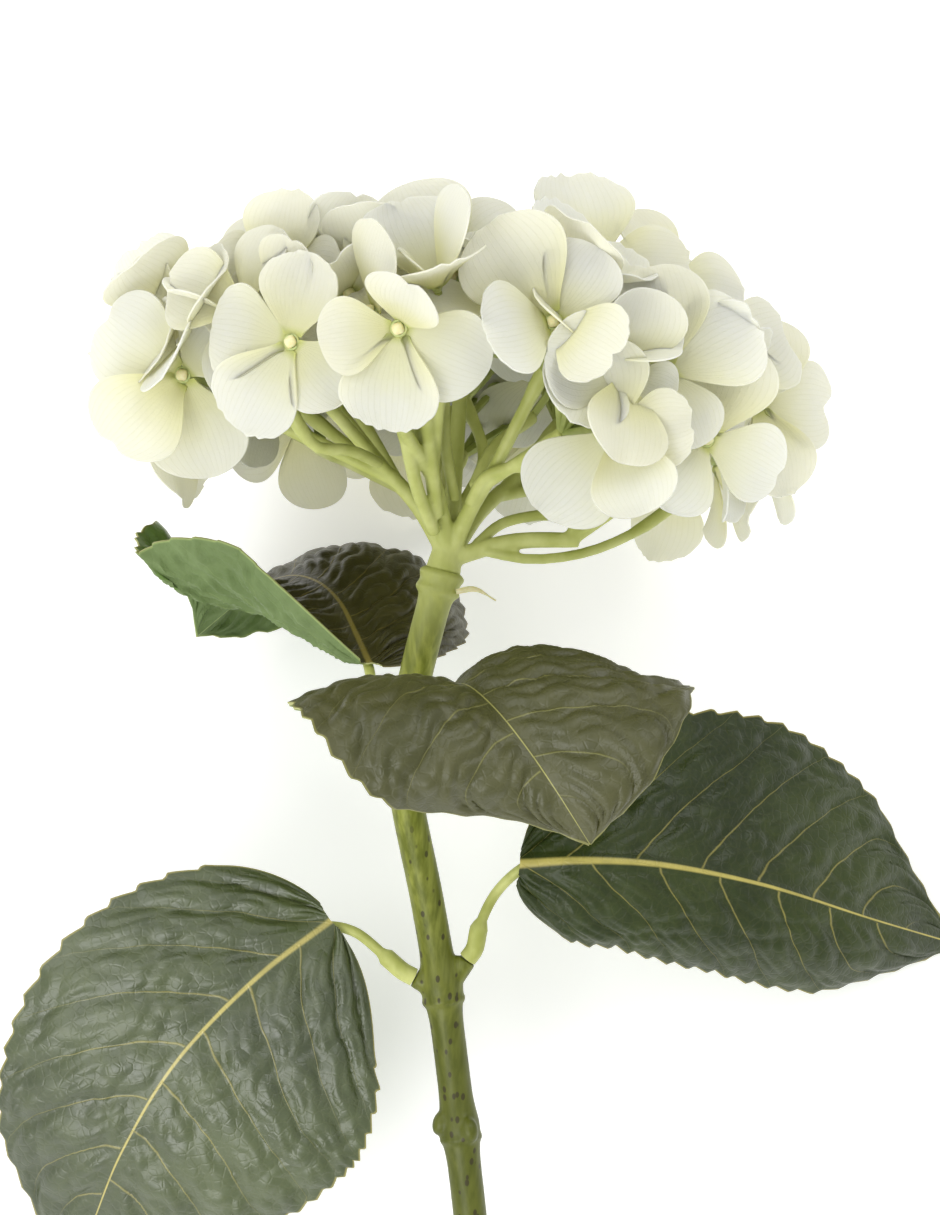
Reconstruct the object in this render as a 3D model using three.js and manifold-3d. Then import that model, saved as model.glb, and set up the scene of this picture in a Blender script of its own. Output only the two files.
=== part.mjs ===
// A cut mophead hydrangea laid down on a table: a jointed stem with four serrated leaves on petioles, a fan of
// flower branches, and a domed head of florets with four sepals each. Sizes are in millimetres.
// The plant is described as it grew, in a frame of its own: the top of the stem is the origin, +Y runs up the
// picture, +X to the right and +Z towards the viewer. At the end it is laid down on its back, with +Z up.
import * as THREE from "three";
import { mergeVertices } from "three/addons/utils/BufferGeometryUtils.js";
import Module from "manifold-3d";

const wasm = await Module();
wasm.setup();

// Driving dimensions
const GAP = 0.35; // clearance between two pieces that touch
const BLADE_THICKNESS = 0.7; // sepals and leaf blades
const HEAD_TILT_RIGHT = 4; // degrees that the head leans off the picture's vertical
const HEAD_TILT_BACK = 6;
const HEAD_RADIUS = 75; // radius of the dome on which the florets' centres lie
const HEAD_TOP = 72; // height of the topmost floret's centre above the top of the stem
// Height of the dome's rim at each eighth of a turn from the right towards the front: it hangs unevenly
const RIM_HEIGHTS = [32, 30, 50, 43, 41, 40, 48, 37];
const EYE_HALF_WIDTH = 1.5; // a floret's middle
const EYE_HALF_HEIGHT = 1.9;
const FLORET_ROOM = 6;
const SEPAL_LENGTH = 23.5;
const SEPAL_HALF_WIDTH = 12.3;
const STEM_RADIUS = 4.2;
const COLLAR_RADIUS = 5.2;
const STEM_TOP = -1.2;
const CUT_END = -250;
const PETIOLE_SEAT_RADIUS = 2.2;
const LEAF_TEETH = 12; // teeth on each margin

const LIE_PITCH = 18.3; // degrees that lay the cut end, the leaves' tips and the head's back on the table
const FLAT_DEPTH = 1; // what the table presses flat on the lowest points
const TABLE_SIDE = 1000;
const TABLE_DEPTH = 50;

const DEGREE = Math.PI / 180;
const point = (x, y, z) => new THREE.Vector3(x, y, z);

// Draws the same numbers each time: a multiplicative congruential generator.
function makeDraw(seed) {
  let state = seed;
  return (low, high) => {
    state = (state * 16807) % 2147483647;
    return low + ((high - low) * state) / 2147483647;
  };
}

// Solids
function solidOf(geometry) {
  const bare = geometry.clone();
  bare.deleteAttribute("normal");
  bare.deleteAttribute("uv");
  const merged = mergeVertices(bare, 1e-4);
  return new wasm.Manifold(
    new wasm.Mesh({
      numProp: 3,
      vertProperties: new Float32Array(merged.attributes.position.array),
      triVerts: new Uint32Array(merged.index.array),
    }),
  );
}

function geometryOf(solid) {
  const mesh = solid.getMesh();
  return new THREE.BufferGeometry()
    .setAttribute("position", new THREE.BufferAttribute(new Float32Array(mesh.vertProperties), 3))
    .setIndex(new THREE.BufferAttribute(new Uint32Array(mesh.triVerts), 1));
}

const joined = (solids) => solids.reduce((all, one) => all.add(one));

// A round rod along a route: a cylinder whose rings are set at chosen shares of the route's length.
function rod(route, radiusAt, sides, rings) {
  const line = new THREE.CatmullRomCurve3(route, false, "centripetal");
  const steps = rings.length - 1;
  const blank = new THREE.CylinderGeometry(1, 1, 1, sides, steps);
  const normals = [];
  let normal = null;
  for (const share of rings) {
    const tangent = line.getTangentAt(share);
    if (!normal) {
      const aside = Math.abs(tangent.z) < 0.8 ? point(0, 0, 1) : point(1, 0, 0);
      normal = aside.cross(tangent).normalize();
    }
    normal = normal.clone().addScaledVector(tangent, -normal.dot(tangent)).normalize();
    normals.push(normal);
  }
  const places = blank.attributes.position;
  for (let i = 0; i < places.count; i += 1) {
    const ring = Math.round((places.getY(i) + 0.5) * steps);
    const share = rings[ring];
    const centre = line.getPointAt(share);
    const across = normals[ring].clone().cross(line.getTangentAt(share));
    const radius = radiusAt(share, centre);
    centre.addScaledVector(normals[ring], places.getX(i) * radius);
    centre.addScaledVector(across, places.getZ(i) * radius);
    places.setXYZ(i, centre.x, centre.y, centre.z);
  }
  return solidOf(blank);
}

const evenRings = (steps) => Array.from({ length: steps + 1 }, (_, i) => i / steps);

// A thin closed sheet: its upper triangles, the same ones below, and a wall along every free edge
function sheet(tops, bottoms, triangles) {
  const count = tops.length;
  const faces = [];
  const free = new Map();
  for (const [a, b, c] of triangles) {
    faces.push(a, b, c, a + count, c + count, b + count);
    for (const [p, q] of [[a, b], [b, c], [c, a]]) {
      if (!free.delete(`${q} ${p}`)) free.set(`${p} ${q}`, [p, q]);
    }
  }
  for (const [p, q] of free.values()) faces.push(q, p, p + count, q, p + count, q + count);
  const geometry = new THREE.BufferGeometry();
  const places = [...tops, ...bottoms].flatMap((place) => place.toArray());
  geometry.setAttribute("position", new THREE.Float32BufferAttribute(places, 3));
  geometry.setIndex(faces);
  return solidOf(geometry);
}

// The direction that a surface faces. place(u, v) gives its points, u from -1 to 1 across and v from 0 to 1 along.
function facing(place, u, v) {
  const step = 1e-3;
  const along = place(u, Math.min(v + step, 1)).sub(place(u, Math.max(v - step, 0)));
  const aside = place(Math.min(u + step, 1), v).sub(place(Math.max(u - step, -1), v));
  return aside.cross(along).normalize();
}

// Triangles of a grid whose rows are lists of point numbers
function gridTriangles(rows) {
  const triangles = [];
  for (let row = 0; row + 1 < rows.length; row += 1) {
    for (let column = 0; column + 1 < rows[row].length; column += 1) {
      const [a, b] = [rows[row][column], rows[row][column + 1]];
      const [d, c] = [rows[row + 1][column], rows[row + 1][column + 1]];
      triangles.push([a, b, c], [a, c, d]);
    }
  }
  return triangles;
}

// A closed blade over a grid of a surface. edgePlace, where given, sets its corners a little off the surface.
function blade(columns, rowShares, place, thickness, edgePlace = place) {
  const tops = [];
  const bottoms = [];
  const rows = rowShares.map((v, row) =>
    Array.from({ length: columns + 1 }, (_, column) => {
      const u = (2 * column) / columns - 1;
      const up = facing(place, u, v).multiplyScalar(thickness / 2);
      const middle = edgePlace(u, v, row);
      bottoms.push(middle.clone().sub(up));
      return tops.push(middle.clone().add(up)) - 1;
    }),
  );
  return sheet(tops, bottoms, gridTriangles(rows));
}

// The stem
const STEM_ROUTE = [
  point(16, CUT_END, 0),
  point(9.5, -205, 0),
  point(5.4, -160.5, 0),
  point(3, -140, 0),
  point(-1.6, -104, 0),
  point(-5.2, -82.7, 0),
  point(-10.2, -58, 0),
  point(-11.8, -45, 0),
  point(-8.3, -28.4, 0),
  point(-4.6, -13.6, 0),
  point(-1.2, STEM_TOP, 0),
];
// Heights of the joints of the stem: bud scars, the lower pair of leaves, the upper pair, and the collar
const BUD_JOINT = -139;
const LOWER_JOINT = -104;
const UPPER_JOINT = -45;
const COLLAR_HEIGHT = -4;
const JOINTS = [
  { height: BUD_JOINT, swell: 0.9, reach: 5 },
  { height: LOWER_JOINT, swell: 1.2, reach: 5 },
  { height: UPPER_JOINT, swell: 1.2, reach: 5 },
  { height: COLLAR_HEIGHT, swell: COLLAR_RADIUS - STEM_RADIUS, reach: 3.5 },
];

function stemRadius(share, centre) {
  const swell = JOINTS.map((j) => j.swell * Math.exp(-(((centre.y - j.height) / j.reach) ** 2)));
  return STEM_RADIUS + Math.max(...swell);
}

// Rings are closer together at the joints.
function stemRings() {
  const line = new THREE.CatmullRomCurve3(STEM_ROUTE, false, "centripetal");
  const fine = evenRings(400);
  const heights = [];
  for (let height = CUT_END + 24; height < STEM_TOP; height += 24) heights.push(height);
  for (const joint of JOINTS) for (const off of [-6, -2, 2, 6]) heights.push(joint.height + off);
  const wanted = heights.filter((h) => h > CUT_END + 3 && h < STEM_TOP - 1.5).sort((a, b) => a - b);
  const spaced = wanted.filter((h, i) => i === 0 || h - wanted[i - 1] > 3);
  const shares = spaced.map((h) => fine.find((share) => line.getPointAt(share).y >= h));
  return [0, ...shares, 1];
}

// A short stub that stands out of a joint, on which a petiole is plugged
const stub = (from, to) => rod([from, to], (share) => PETIOLE_SEAT_RADIUS + 0.5 - 0.2 * share, 8, [0, 1]);

function bud(centre, size, turn) {
  const egg = new THREE.SphereGeometry(1, 7, 5);
  egg.scale(size.x, size.y, size.z);
  egg.rotateZ(turn * DEGREE);
  egg.translate(centre.x, centre.y, centre.z);
  return solidOf(egg);
}

// Leaves: each has a petiole from its stub, through the places named here, and a rib along which the blade spreads.
// asides are the directions of the blade's own right side at its base, middle and tip, seen from its upper face.
// Left and right sides each have a half width, the share of the rib's length at which they are broadest, the angle
// in degrees that they stand up from the rib (fold), their further turn on the way to the margin (curl), and how far
// the margin lies back towards the base as a share of its distance (lean). A list runs from the base to the tip.
const LEAVES = {
  lower_left: {
    stub: [point(-3, -104.6, 0.6), point(-8.2, -101.8, 1)],
    petiole: [point(-15.5, -96.6, 0), point(-23.5, -90.6, -2)],
    rib: [
      point(-28.6, -87.6, 0.4),
      point(-47, -101.5, 5),
      point(-66.7, -122, 6),
      point(-80.5, -144.7, -2),
      point(-88, -162, -14),
      point(-95, -180, -29),
    ],
    asides: [point(-0.6, 0.75, -0.1), point(-0.75, 0.6, 0.05), point(-0.85, 0.45, 0.2)],
    halfWidth: [[51], [41]],
    broadest: [0.44, 0.42],
    fold: [[8], [6]],
    curl: [[-26], [-26]],
    lean: [0.12, 0.04],
  },
  lower_right: {
    stub: [point(0, -104, 0.5), point(4.6, -97.4, 1.2)],
    petiole: [point(7.8, -89, 1.2), point(12.2, -80.5, -0.2)],
    rib: [
      point(17.3, -73.5, 5),
      point(33, -72.6, 7),
      point(51.4, -73.8, 3),
      point(77.5, -79.5, -9),
      point(108, -90, -31),
      point(133, -98.5, -55.3),
    ],
    asides: [point(0.1, -0.95, 0.3), point(0.03, -0.95, 0.35), point(-0.05, -0.9, 0.42)],
    halfWidth: [[44, 44, 44, 42, 32], [33, 27, 30, 37, 40]],
    broadest: [0.44, 0.36],
    fold: [[8], [-10]],
    curl: [[-14], [-72]],
    lean: [-0.05, 0.25],
  },
  upper_front: {
    stub: [point(-10.6, -45, 3), point(-8.4, -43.3, 8)],
    petiole: [point(-5, -40.4, 14)],
    rib: [
      point(-2, -34.5, 19),
      point(1, -30, 34),
      point(5.4, -29.5, 50),
      point(12.4, -35.5, 61),
      point(20, -45, 66),
      point(26.2, -54, 66),
      point(33.4, -65.4, 62),
    ],
    asides: [point(-1, 0.04, 0.1), point(-1, 0.2, 0.12), point(-0.9, 0.3, -0.1)],
    halfWidth: [[57], [42]],
    broadest: [0.48, 0.46],
    fold: [[45, 62, 50, 25, 20], [14, 8, 8, 8]],
    curl: [[-100, -130, -110, -80, -60], [-60, -46, -30, -20]],
    lean: [-0.14, 0.34],
  },
  upper_back: {
    stub: [point(-12.6, -45, -2), point(-15.3, -41.4, -7.6)],
    petiole: [point(-18.2, -35, -10)],
    rib: [
      point(-19.6, -25, -10),
      point(-23.5, -17, -22),
      point(-28, -9, -33),
      point(-34, -4, -43),
      point(-41, -2.5, -50.9),
      point(-49, -5, -56.9),
      point(-57, -10.5, -59),
      point(-66, -18, -58.5),
    ],
    asides: [point(0.75, 0.1, -0.5), point(0.88, 0.2, -0.45), point(0.8, 0.1, -0.6)],
    halfWidth: [[58], [30, 42, 46, 46, 44]],
    broadest: [0.5, 0.44],
    fold: [[-20, -25, -20, -5, 0], [16, 20, 40, 56]],
    curl: [[110, 120, 80, 45, 20], [-50, -75, -95, -95]],
    lean: [-0.05, -0.05],
  },
};

// A value at a share of the rib's length, from a list that is spread evenly from the base to the tip
function along(list, v) {
  const place = v * (list.length - 1);
  const index = Math.min(Math.floor(place), Math.max(0, list.length - 2));
  return THREE.MathUtils.lerp(list[index], list[Math.min(index + 1, list.length - 1)], place - index);
}

// Half width of an ovate blade as a share of its greatest, with a drawn-out tip
function leafOutline(v, broadest) {
  const round = Math.sin(Math.PI * v ** (Math.log(0.5) / Math.log(broadest))) ** 0.62;
  const late = Math.max(0, (v - 0.72) / 0.28);
  return round * (1 - 0.42 * late * late * (3 - 2 * late));
}

// The midrib runs below the blade between these shares of its length.
const MIDRIB_SHARES = [0.02, 0.08, 0.16, 0.26, 0.36, 0.46, 0.56];
const MIDRIB_RINGS = 14;
const PLUG_LENGTH = 9; // the thick first part of a petiole
const midribRadius = (v) => 1.35 - 1.4 * v;

const LEAF_COLUMNS = 6;
const LEAF_BASE_SHARE = 0.012;
const LEAF_TIP_SHARE = 0.985;
const SMOOTH_BASE = 0.14; // share of the margin near the petiole that has no teeth
const TOOTH_DEPTH = 1.5;

// Shares of the rib's length at which the blade has a row of corners: a notch and a point for each tooth
function leafRows() {
  const rows = [LEAF_BASE_SHARE, 0.04, 0.09];
  const pitch = (LEAF_TIP_SHARE - SMOOTH_BASE) / LEAF_TEETH;
  for (let tooth = 0; tooth < LEAF_TEETH; tooth += 1) {
    rows.push(SMOOTH_BASE + tooth * pitch);
    rows.push(SMOOTH_BASE + (tooth + 0.78) * pitch);
  }
  rows.push(LEAF_TIP_SHARE);
  return rows;
}

function leafSurface(leaf) {
  const line = new THREE.CatmullRomCurve3(leaf.rib, false, "centripetal");
  return (u, v, toothReach = 0) => {
    const tangent = line.getTangentAt(v);
    const [atBase, atMiddle, atTip] = leaf.asides;
    const aside = v < 0.5 ? atBase.clone().lerp(atMiddle, 2 * v) : atMiddle.clone().lerp(atTip, 2 * v - 1);
    aside.addScaledVector(tangent, -aside.dot(tangent)).normalize();
    const up = aside.clone().cross(tangent).normalize();
    const side = u < 0 ? 0 : 1;
    const width = along(leaf.halfWidth[side], v) * leafOutline(v, leaf.broadest[side]) + toothReach * Math.abs(u);
    const fold = along(leaf.fold[side], v) * DEGREE;
    const curl = along(leaf.curl[side], v) * DEGREE;
    const turned = fold + curl * Math.abs(u);
    const out = (width / curl) * (Math.sin(turned) - Math.sin(fold));
    const rise = (width / curl) * (Math.cos(fold) - Math.cos(turned));
    const place = line.getPointAt(v);
    place.addScaledVector(aside, (u < 0 ? -1 : 1) * out);
    place.addScaledVector(tangent, -leaf.lean[side] * Math.abs(out));
    return place.addScaledVector(up, rise);
  };
}

function leafBlade(leaf) {
  const surface = leafSurface(leaf);
  const rows = leafRows();
  const isPoint = (row) => row > 3 && row % 2 === 0;
  const isNotch = (row) => row > 3 && row % 2 === 1;
  const toothed = (u, v, row) => {
    if (Math.abs(u) < 1) return surface(u, v);
    const reach = isPoint(row) ? TOOTH_DEPTH / 2 : isNotch(row) ? -TOOTH_DEPTH / 2 : 0;
    return surface(u, v, v > 0.93 ? reach / 2 : reach);
  };
  return blade(LEAF_COLUMNS, rows, (u, v) => surface(u, v), BLADE_THICKNESS, toothed);
}

// A petiole's route: straight off its stub, out to the blade, and on below the blade as its midrib
function petioleRoute(leaf) {
  const [from, to] = leaf.stub;
  const ahead = to.clone().sub(from).normalize();
  const start = to.clone().addScaledVector(ahead, GAP);
  const surface = leafSurface(leaf);
  const below = MIDRIB_SHARES.map((v) => {
    const depth = BLADE_THICKNESS / 2 + GAP + midribRadius(v);
    return surface(0, v).addScaledVector(facing(surface, 0, v), -depth);
  });
  return [start, start.clone().addScaledVector(ahead, 3), ...leaf.petiole, ...below];
}

function petiole(leaf) {
  const route = petioleRoute(leaf);
  const line = new THREE.CatmullRomCurve3(route, false, "centripetal");
  const length = line.getLength();
  const ribLength = new THREE.CatmullRomCurve3(leaf.rib, false, "centripetal").getLength();
  const bare = length - ribLength * (MIDRIB_SHARES.at(-1) - MIDRIB_SHARES[0]);
  const radiusAt = (share) => {
    const distance = share * length;
    if (distance < PLUG_LENGTH + 0.1) return PETIOLE_SEAT_RADIUS;
    return midribRadius(MIDRIB_SHARES[0] + Math.max(0, distance - bare) / ribLength);
  };
  const rest = evenRings(MIDRIB_RINGS).map((share) => PLUG_LENGTH + 1.5 + share * (length - PLUG_LENGTH - 1.5));
  return rod(route, radiusAt, 6, [0, PLUG_LENGTH / 2, PLUG_LENGTH, ...rest].map((distance) => distance / length));
}

// The head's own frame: its axis leans right and back off the picture's vertical
const headTurn = new THREE.Euler(-HEAD_TILT_BACK * DEGREE, 0, -HEAD_TILT_RIGHT * DEGREE);
const headAxis = point(0, 1, 0).applyEuler(headTurn);
const headRight = point(1, 0, 0).applyEuler(headTurn);
const headFront = point(0, 0, 1).applyEuler(headTurn);

// A point at a height along the head's axis and a distance from it, towards an azimuth from the right to the front
function inHead(height, distance, azimuth) {
  const place = headAxis.clone().multiplyScalar(height);
  place.addScaledVector(headRight, distance * Math.cos(azimuth * DEGREE));
  return place.addScaledVector(headFront, distance * Math.sin(azimuth * DEGREE));
}

function rimHeight(azimuth) {
  const place = (((azimuth % 360) + 360) % 360) / 45;
  const [before, low, high, after] = [-1, 0, 1, 2].map((k) => RIM_HEIGHTS[(Math.floor(place) + k + 8) % 8]);
  const share = place % 1;
  const bend = 0.5 * share * (high - before + share * (2 * before - 5 * low + 4 * high - after));
  return low + bend + 0.5 * share ** 3 * (3 * (low - high) + after - before);
}

// Florets stand on the dome in tiers. polar is the angle down from the head's axis.
const TIERS = [
  { polar: 0, count: 1, turn: 0 },
  { polar: 24, count: 6, turn: 10 },
  { polar: 47, count: 11, turn: 20 },
  { polar: 70, count: 14, turn: 12.9 },
  { polar: 94, count: 14, turn: 2 },
];
const SECTORS = 7;

// Florets at the front, set one by one: the place of the middle, the way it faces, and each sepal's direction seen
// from the front in degrees from the right, its lift and its length
const FRONT_FLORETS = [
  {
    centre: point(-10.9, 53.8, 68),
    faces: point(-0.25, -0.15, 0.95),
    sepals: [[60, 62, 19], [188, 25, 17.5], [262, 12, 23], [335, 10, 21.5]],
  },
  {
    centre: point(38.9, 30.3, 52),
    faces: point(0.1, -0.15, 0.98),
    sepals: [[8, 20, 18], [105, 20, 22], [228, 8, 24], [290, 40, 20]],
  },
  {
    centre: point(61.6, 29.6, 36),
    faces: point(0.3, 0, 0.95),
    sepals: [[72, 22, 24], [165, 15, 18], [225, 15, 20], [335, 18, 19]],
  },
  {
    centre: point(-36, 51.4, 56),
    faces: point(-0.4, 0, 0.9),
    sepals: [[75, 15, 20], [170, 5, 22], [235, 15, 23], [318, 10, 18]],
  },
  {
    centre: point(-63.5, 45.5, 26),
    faces: point(-0.3, -0.1, 0.95),
    sepals: [[40, 30, 18], [148, 8, 24], [228, 45, 24], [285, 5, 24.5]],
  },
  {
    centre: point(-41, 68, 34),
    faces: point(-0.35, 0.45, 0.82),
    sepals: [[80, 35, 20], [160, 5, 21], [250, 20, 20], [340, 20, 19]],
  },
  {
    centre: point(-23, 63, 44),
    faces: point(-0.1, 0.4, 0.9),
    sepals: [[55, 15, 21], [130, 30, 20], [215, 15, 20], [310, 20, 20]],
  },
  {
    centre: point(1, 67, 46),
    faces: point(0.05, 0.45, 0.9),
    sepals: [[45, 20, 22], [115, 20, 24], [205, 15, 20], [300, 10, 20]],
  },
  {
    centre: point(24.7, 55.8, 60),
    faces: point(0, 0.1, 1),
    sepals: [[58, 18, 19], [125, 18, 26], [200, 50, 22], [325, 45, 20]],
  },
  {
    centre: point(51.3, 45, 44),
    faces: point(0.3, 0.3, 0.9),
    sepals: [[30, 8, 24], [98, 25, 24], [215, 15, 20], [290, 10, 20]],
  },
  {
    centre: point(75.8, 39.2, 10),
    faces: point(0.6, 0, 0.8),
    sepals: [[0, 15, 21], [85, 20, 20], [180, 20, 18], [285, 15, 22]],
  },
  {
    centre: point(36, 72, 26),
    faces: point(0.2, 0.6, 0.77),
    sepals: [[5, 20, 21], [95, 20, 25], [185, 20, 20], [275, 20, 20]],
  },
  {
    centre: point(54, 67, 14),
    faces: point(0.5, 0.6, 0.6),
    sepals: [[20, 15, 22], [110, 25, 21], [200, 20, 20], [290, 15, 20]],
  },
];
const KEPT_CLEAR = 20; // the others stay this far from the front ones

// The level and azimuth at which a floret's stalk leaves the branches
function standingOf(centre) {
  const [right, front] = [centre.dot(headRight), centre.dot(headFront)];
  const distance = Math.hypot(right, front);
  return { level: distance > 66 ? 4 : distance > 56 ? 3 : 2, azimuth: Math.atan2(front, right) / DEGREE };
}

function makeFrontFlorets() {
  return FRONT_FLORETS.map(({ centre, faces, sepals }) => {
    const axis = faces.clone().normalize();
    const [first, second] = spreadOf(axis);
    const turnOf = (direction) => {
      const way = point(Math.cos(direction * DEGREE), Math.sin(direction * DEGREE), 0);
      return Math.atan2(way.dot(second), way.dot(first)) / DEGREE;
    };
    const own = sepals.map(([direction, lift, length]) => ({ turn: turnOf(direction), lift, length }));
    return { ...standingOf(centre), front: true, centre, axis, sepals: own };
  });
}

function makeFlorets() {
  const draw = makeDraw(8);
  const florets = [];
  TIERS.forEach((tier, level) => {
    for (let k = 0; k < tier.count; k += 1) {
      const azimuth = tier.turn + (360 / tier.count) * k + draw(-4, 4);
      const polar = tier.polar + draw(-3, 3);
      const off = (k % 2 === 0 ? 3.5 : -4.5) + draw(-1.5, 1.5);
      const distance = HEAD_RADIUS * Math.sin(polar * DEGREE);
      const rim = rimHeight(azimuth);
      const height = rim + (HEAD_TOP - rim) * Math.max(0, Math.cos(polar * DEGREE)) ** 0.7;
      const centre = inHead(height, distance, azimuth);
      const steep = inHead(
        Math.cos(polar * DEGREE) / (HEAD_TOP - rim),
        Math.sin(polar * DEGREE) / HEAD_RADIUS,
        azimuth,
      ).normalize();
      const axis = steep.clone().add(point(draw(-0.2, 0.2), draw(-0.15, 0.2), draw(-0.1, 0.2))).normalize();
      centre.addScaledVector(steep, off);
      const spin = draw(0, 90);
      const sepals = [0, 1, 2, 3].map((s) => ({
        turn: spin + 90 * s + draw(-4, 4),
        lift: draw(6, 30) + (s % 2) * 6,
        length: SEPAL_LENGTH * draw(0.9, 1.08),
      }));
      florets.push({ level, azimuth, centre, axis, sepals });
    }
  });
  const front = makeFrontFlorets();
  const clear = (floret) => front.every((one) => one.centre.distanceTo(floret.centre) > KEPT_CLEAR);
  return [...front, ...florets.filter(clear)];
}

const SEPAL_CLAW = 0.12; // half width at the base as a share of the greatest
const SEPAL_BROADEST = 0.6;
const SEPAL_BEND = -0.45; // radians that the sepal turns back on its way out
const SEPAL_CUP = 0.22;
const SEPAL_ROWS = [0.26, 0.52, 0.76, 0.95];

function sepalOutline(s) {
  if (s < SEPAL_BROADEST) return SEPAL_CLAW + (1 - SEPAL_CLAW) * Math.sin((Math.PI / 2) * (s / SEPAL_BROADEST)) ** 2;
  return Math.sqrt(Math.max(0, 1 - ((s - SEPAL_BROADEST) / (1 - SEPAL_BROADEST)) ** 2));
}

// Two directions square to an axis, from which a floret's turns are counted
function spreadOf(axis) {
  const first = point(0, 0, 1).cross(axis);
  if (first.length() < 0.2) first.copy(point(1, 0, 0).cross(axis));
  first.normalize();
  return [first, axis.clone().cross(first)];
}

// The direction across a floret's axis at a turn
function outwardOf(floret, turn) {
  const [first, second] = spreadOf(floret.axis);
  return first.multiplyScalar(Math.cos(turn * DEGREE)).addScaledVector(second, Math.sin(turn * DEGREE));
}

function sepalSurface(floret, sepal, lift, length) {
  const outward = outwardOf(floret, sepal.turn);
  const sideways = outward.clone().cross(floret.axis);
  const halfWidth = (SEPAL_HALF_WIDTH * length) / SEPAL_LENGTH;
  const start = lift * DEGREE;
  return (u, s) => {
    const half = halfWidth * sepalOutline(s);
    const turned = start + SEPAL_BEND * s;
    const out = EYE_HALF_WIDTH + (length / SEPAL_BEND) * (Math.sin(turned) - Math.sin(start));
    const up = (length / SEPAL_BEND) * (Math.cos(start) - Math.cos(turned)) + SEPAL_CUP * half * u * u;
    const place = floret.centre.clone().addScaledVector(outward, out);
    return place.addScaledVector(sideways, u * half).addScaledVector(floret.axis, up);
  };
}

function touches(a, b) {
  for (let k = 0; k < 3; k += 1) if (a.box.min[k] > b.box.max[k] || b.box.min[k] > a.box.max[k]) return false;
  return a.solid.intersect(b.solid).volume() > 0;
}
const boxed = (solid) => ({ solid, box: solid.boundingBox() });

// A sepal that would cross another floret or a branch is bent clear of it, and grows shorter where it can't be.
const tries = (shares, bends) => shares.flatMap((share) => bends.map((bend) => ({ share, bend })));
const SEPAL_TRIES = [
  ...tries([1, 0.92, 0.84, 0.76, 0.68], [0, 8, -8, 16, -16, 24, -24]),
  ...tries([0.8, 0.6, 0.45, 0.3], [32, 40, -32, 50, 60, 70]),
];

function placeSepal(floret, sepal, obstacles, sisters) {
  for (const { share, bend } of SEPAL_TRIES) {
    const surface = sepalSurface(floret, sepal, sepal.lift + bend, sepal.length * share);
    const whole = boxed(blade(2, [0, ...SEPAL_ROWS], surface, BLADE_THICKNESS + 2 * GAP));
    if (obstacles.some((one) => touches(whole, one))) continue;
    const outer = boxed(blade(2, SEPAL_ROWS, surface, BLADE_THICKNESS));
    if (sisters.some((one) => touches(outer, one))) continue;
    sisters.push(outer);
    return surface;
  }
  throw new Error("a sepal has no room");
}

// A floret is one sheet: a small square, raised in its middle as the eye, with a sepal on each of its edges.
function floretSolid(floret, surfaces) {
  const tops = [];
  const bottoms = [];
  const add = (middle, up) => {
    bottoms.push(middle.clone().sub(up));
    return tops.push(middle.clone().add(up)) - 1;
  };
  const flat = floret.axis.clone().multiplyScalar(BLADE_THICKNESS / 2);
  const onSquare = (turn, reach) => add(floret.centre.clone().addScaledVector(outwardOf(floret, turn), reach), flat);
  const centre = add(floret.centre, floret.axis.clone().multiplyScalar(EYE_HALF_HEIGHT));
  const middles = floret.sepals.map((sepal) => onSquare(sepal.turn, EYE_HALF_WIDTH));
  const corners = floret.sepals.map((sepal) => onSquare(sepal.turn + 45, EYE_HALF_WIDTH * Math.SQRT2));
  const triangles = [];
  surfaces.forEach((surface, k) => {
    const base = [corners[k], middles[k], corners[(k + 3) % 4]];
    triangles.push([centre, base[2], base[1]], [centre, base[1], base[0]]);
    const rows = SEPAL_ROWS.map((s) =>
      [-1, 0, 1].map((u) => add(surface(u, s), facing(surface, u, s).multiplyScalar(BLADE_THICKNESS / 2))),
    );
    triangles.push(...gridTriangles([base, ...rows]));
  });
  return sheet(tops, bottoms, triangles);
}

// The room that others leave for a floret's middle
function room(floret) {
  const ball = new THREE.OctahedronGeometry(FLORET_ROOM, 0);
  ball.translate(floret.centre.x, floret.centre.y, floret.centre.z);
  return solidOf(ball);
}

// Flower branches: one for each sector of the head and one up the middle, each forking to its florets
const PRIMARY_RADIUS = 2.3;
const SECONDARY_RADIUS = 1.6;
const PEDICEL_RADIUS = 0.95;
const LOW_SECTORS = [0]; // the branches that leave the stem almost level

function sectorOf(floret) {
  if (floret.level < 2) return -1;
  const turned = (floret.azimuth - 6.4 + 720) % 360;
  return Math.floor(((turned + 360 / SECTORS / 2) % 360) / (360 / SECTORS));
}

// The point at which a sector's branch forks, and the point below a tier at which its florets' pedicels part
function forkOf(sector) {
  if (sector < 0) return inHead(40, 0, 0);
  const azimuth = 6.4 + (360 / SECTORS) * sector;
  return LOW_SECTORS.includes(sector) ? inHead(8, 32, azimuth) : inHead(21, 17, azimuth);
}

function partingOf(sector, group) {
  const mean = group.reduce((sum, floret) => sum.add(floret.centre), point(0, 0, 0)).divideScalar(group.length);
  return forkOf(sector).lerp(mean, 0.52);
}

// A pedicel's route from its parting to below its floret. It swings aside where another floret is in its way.
const SWINGS = [0, 5, -5, 10, -10, 15, -15];
const CLEAR_OF_FLORETS = 6.5;

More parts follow.
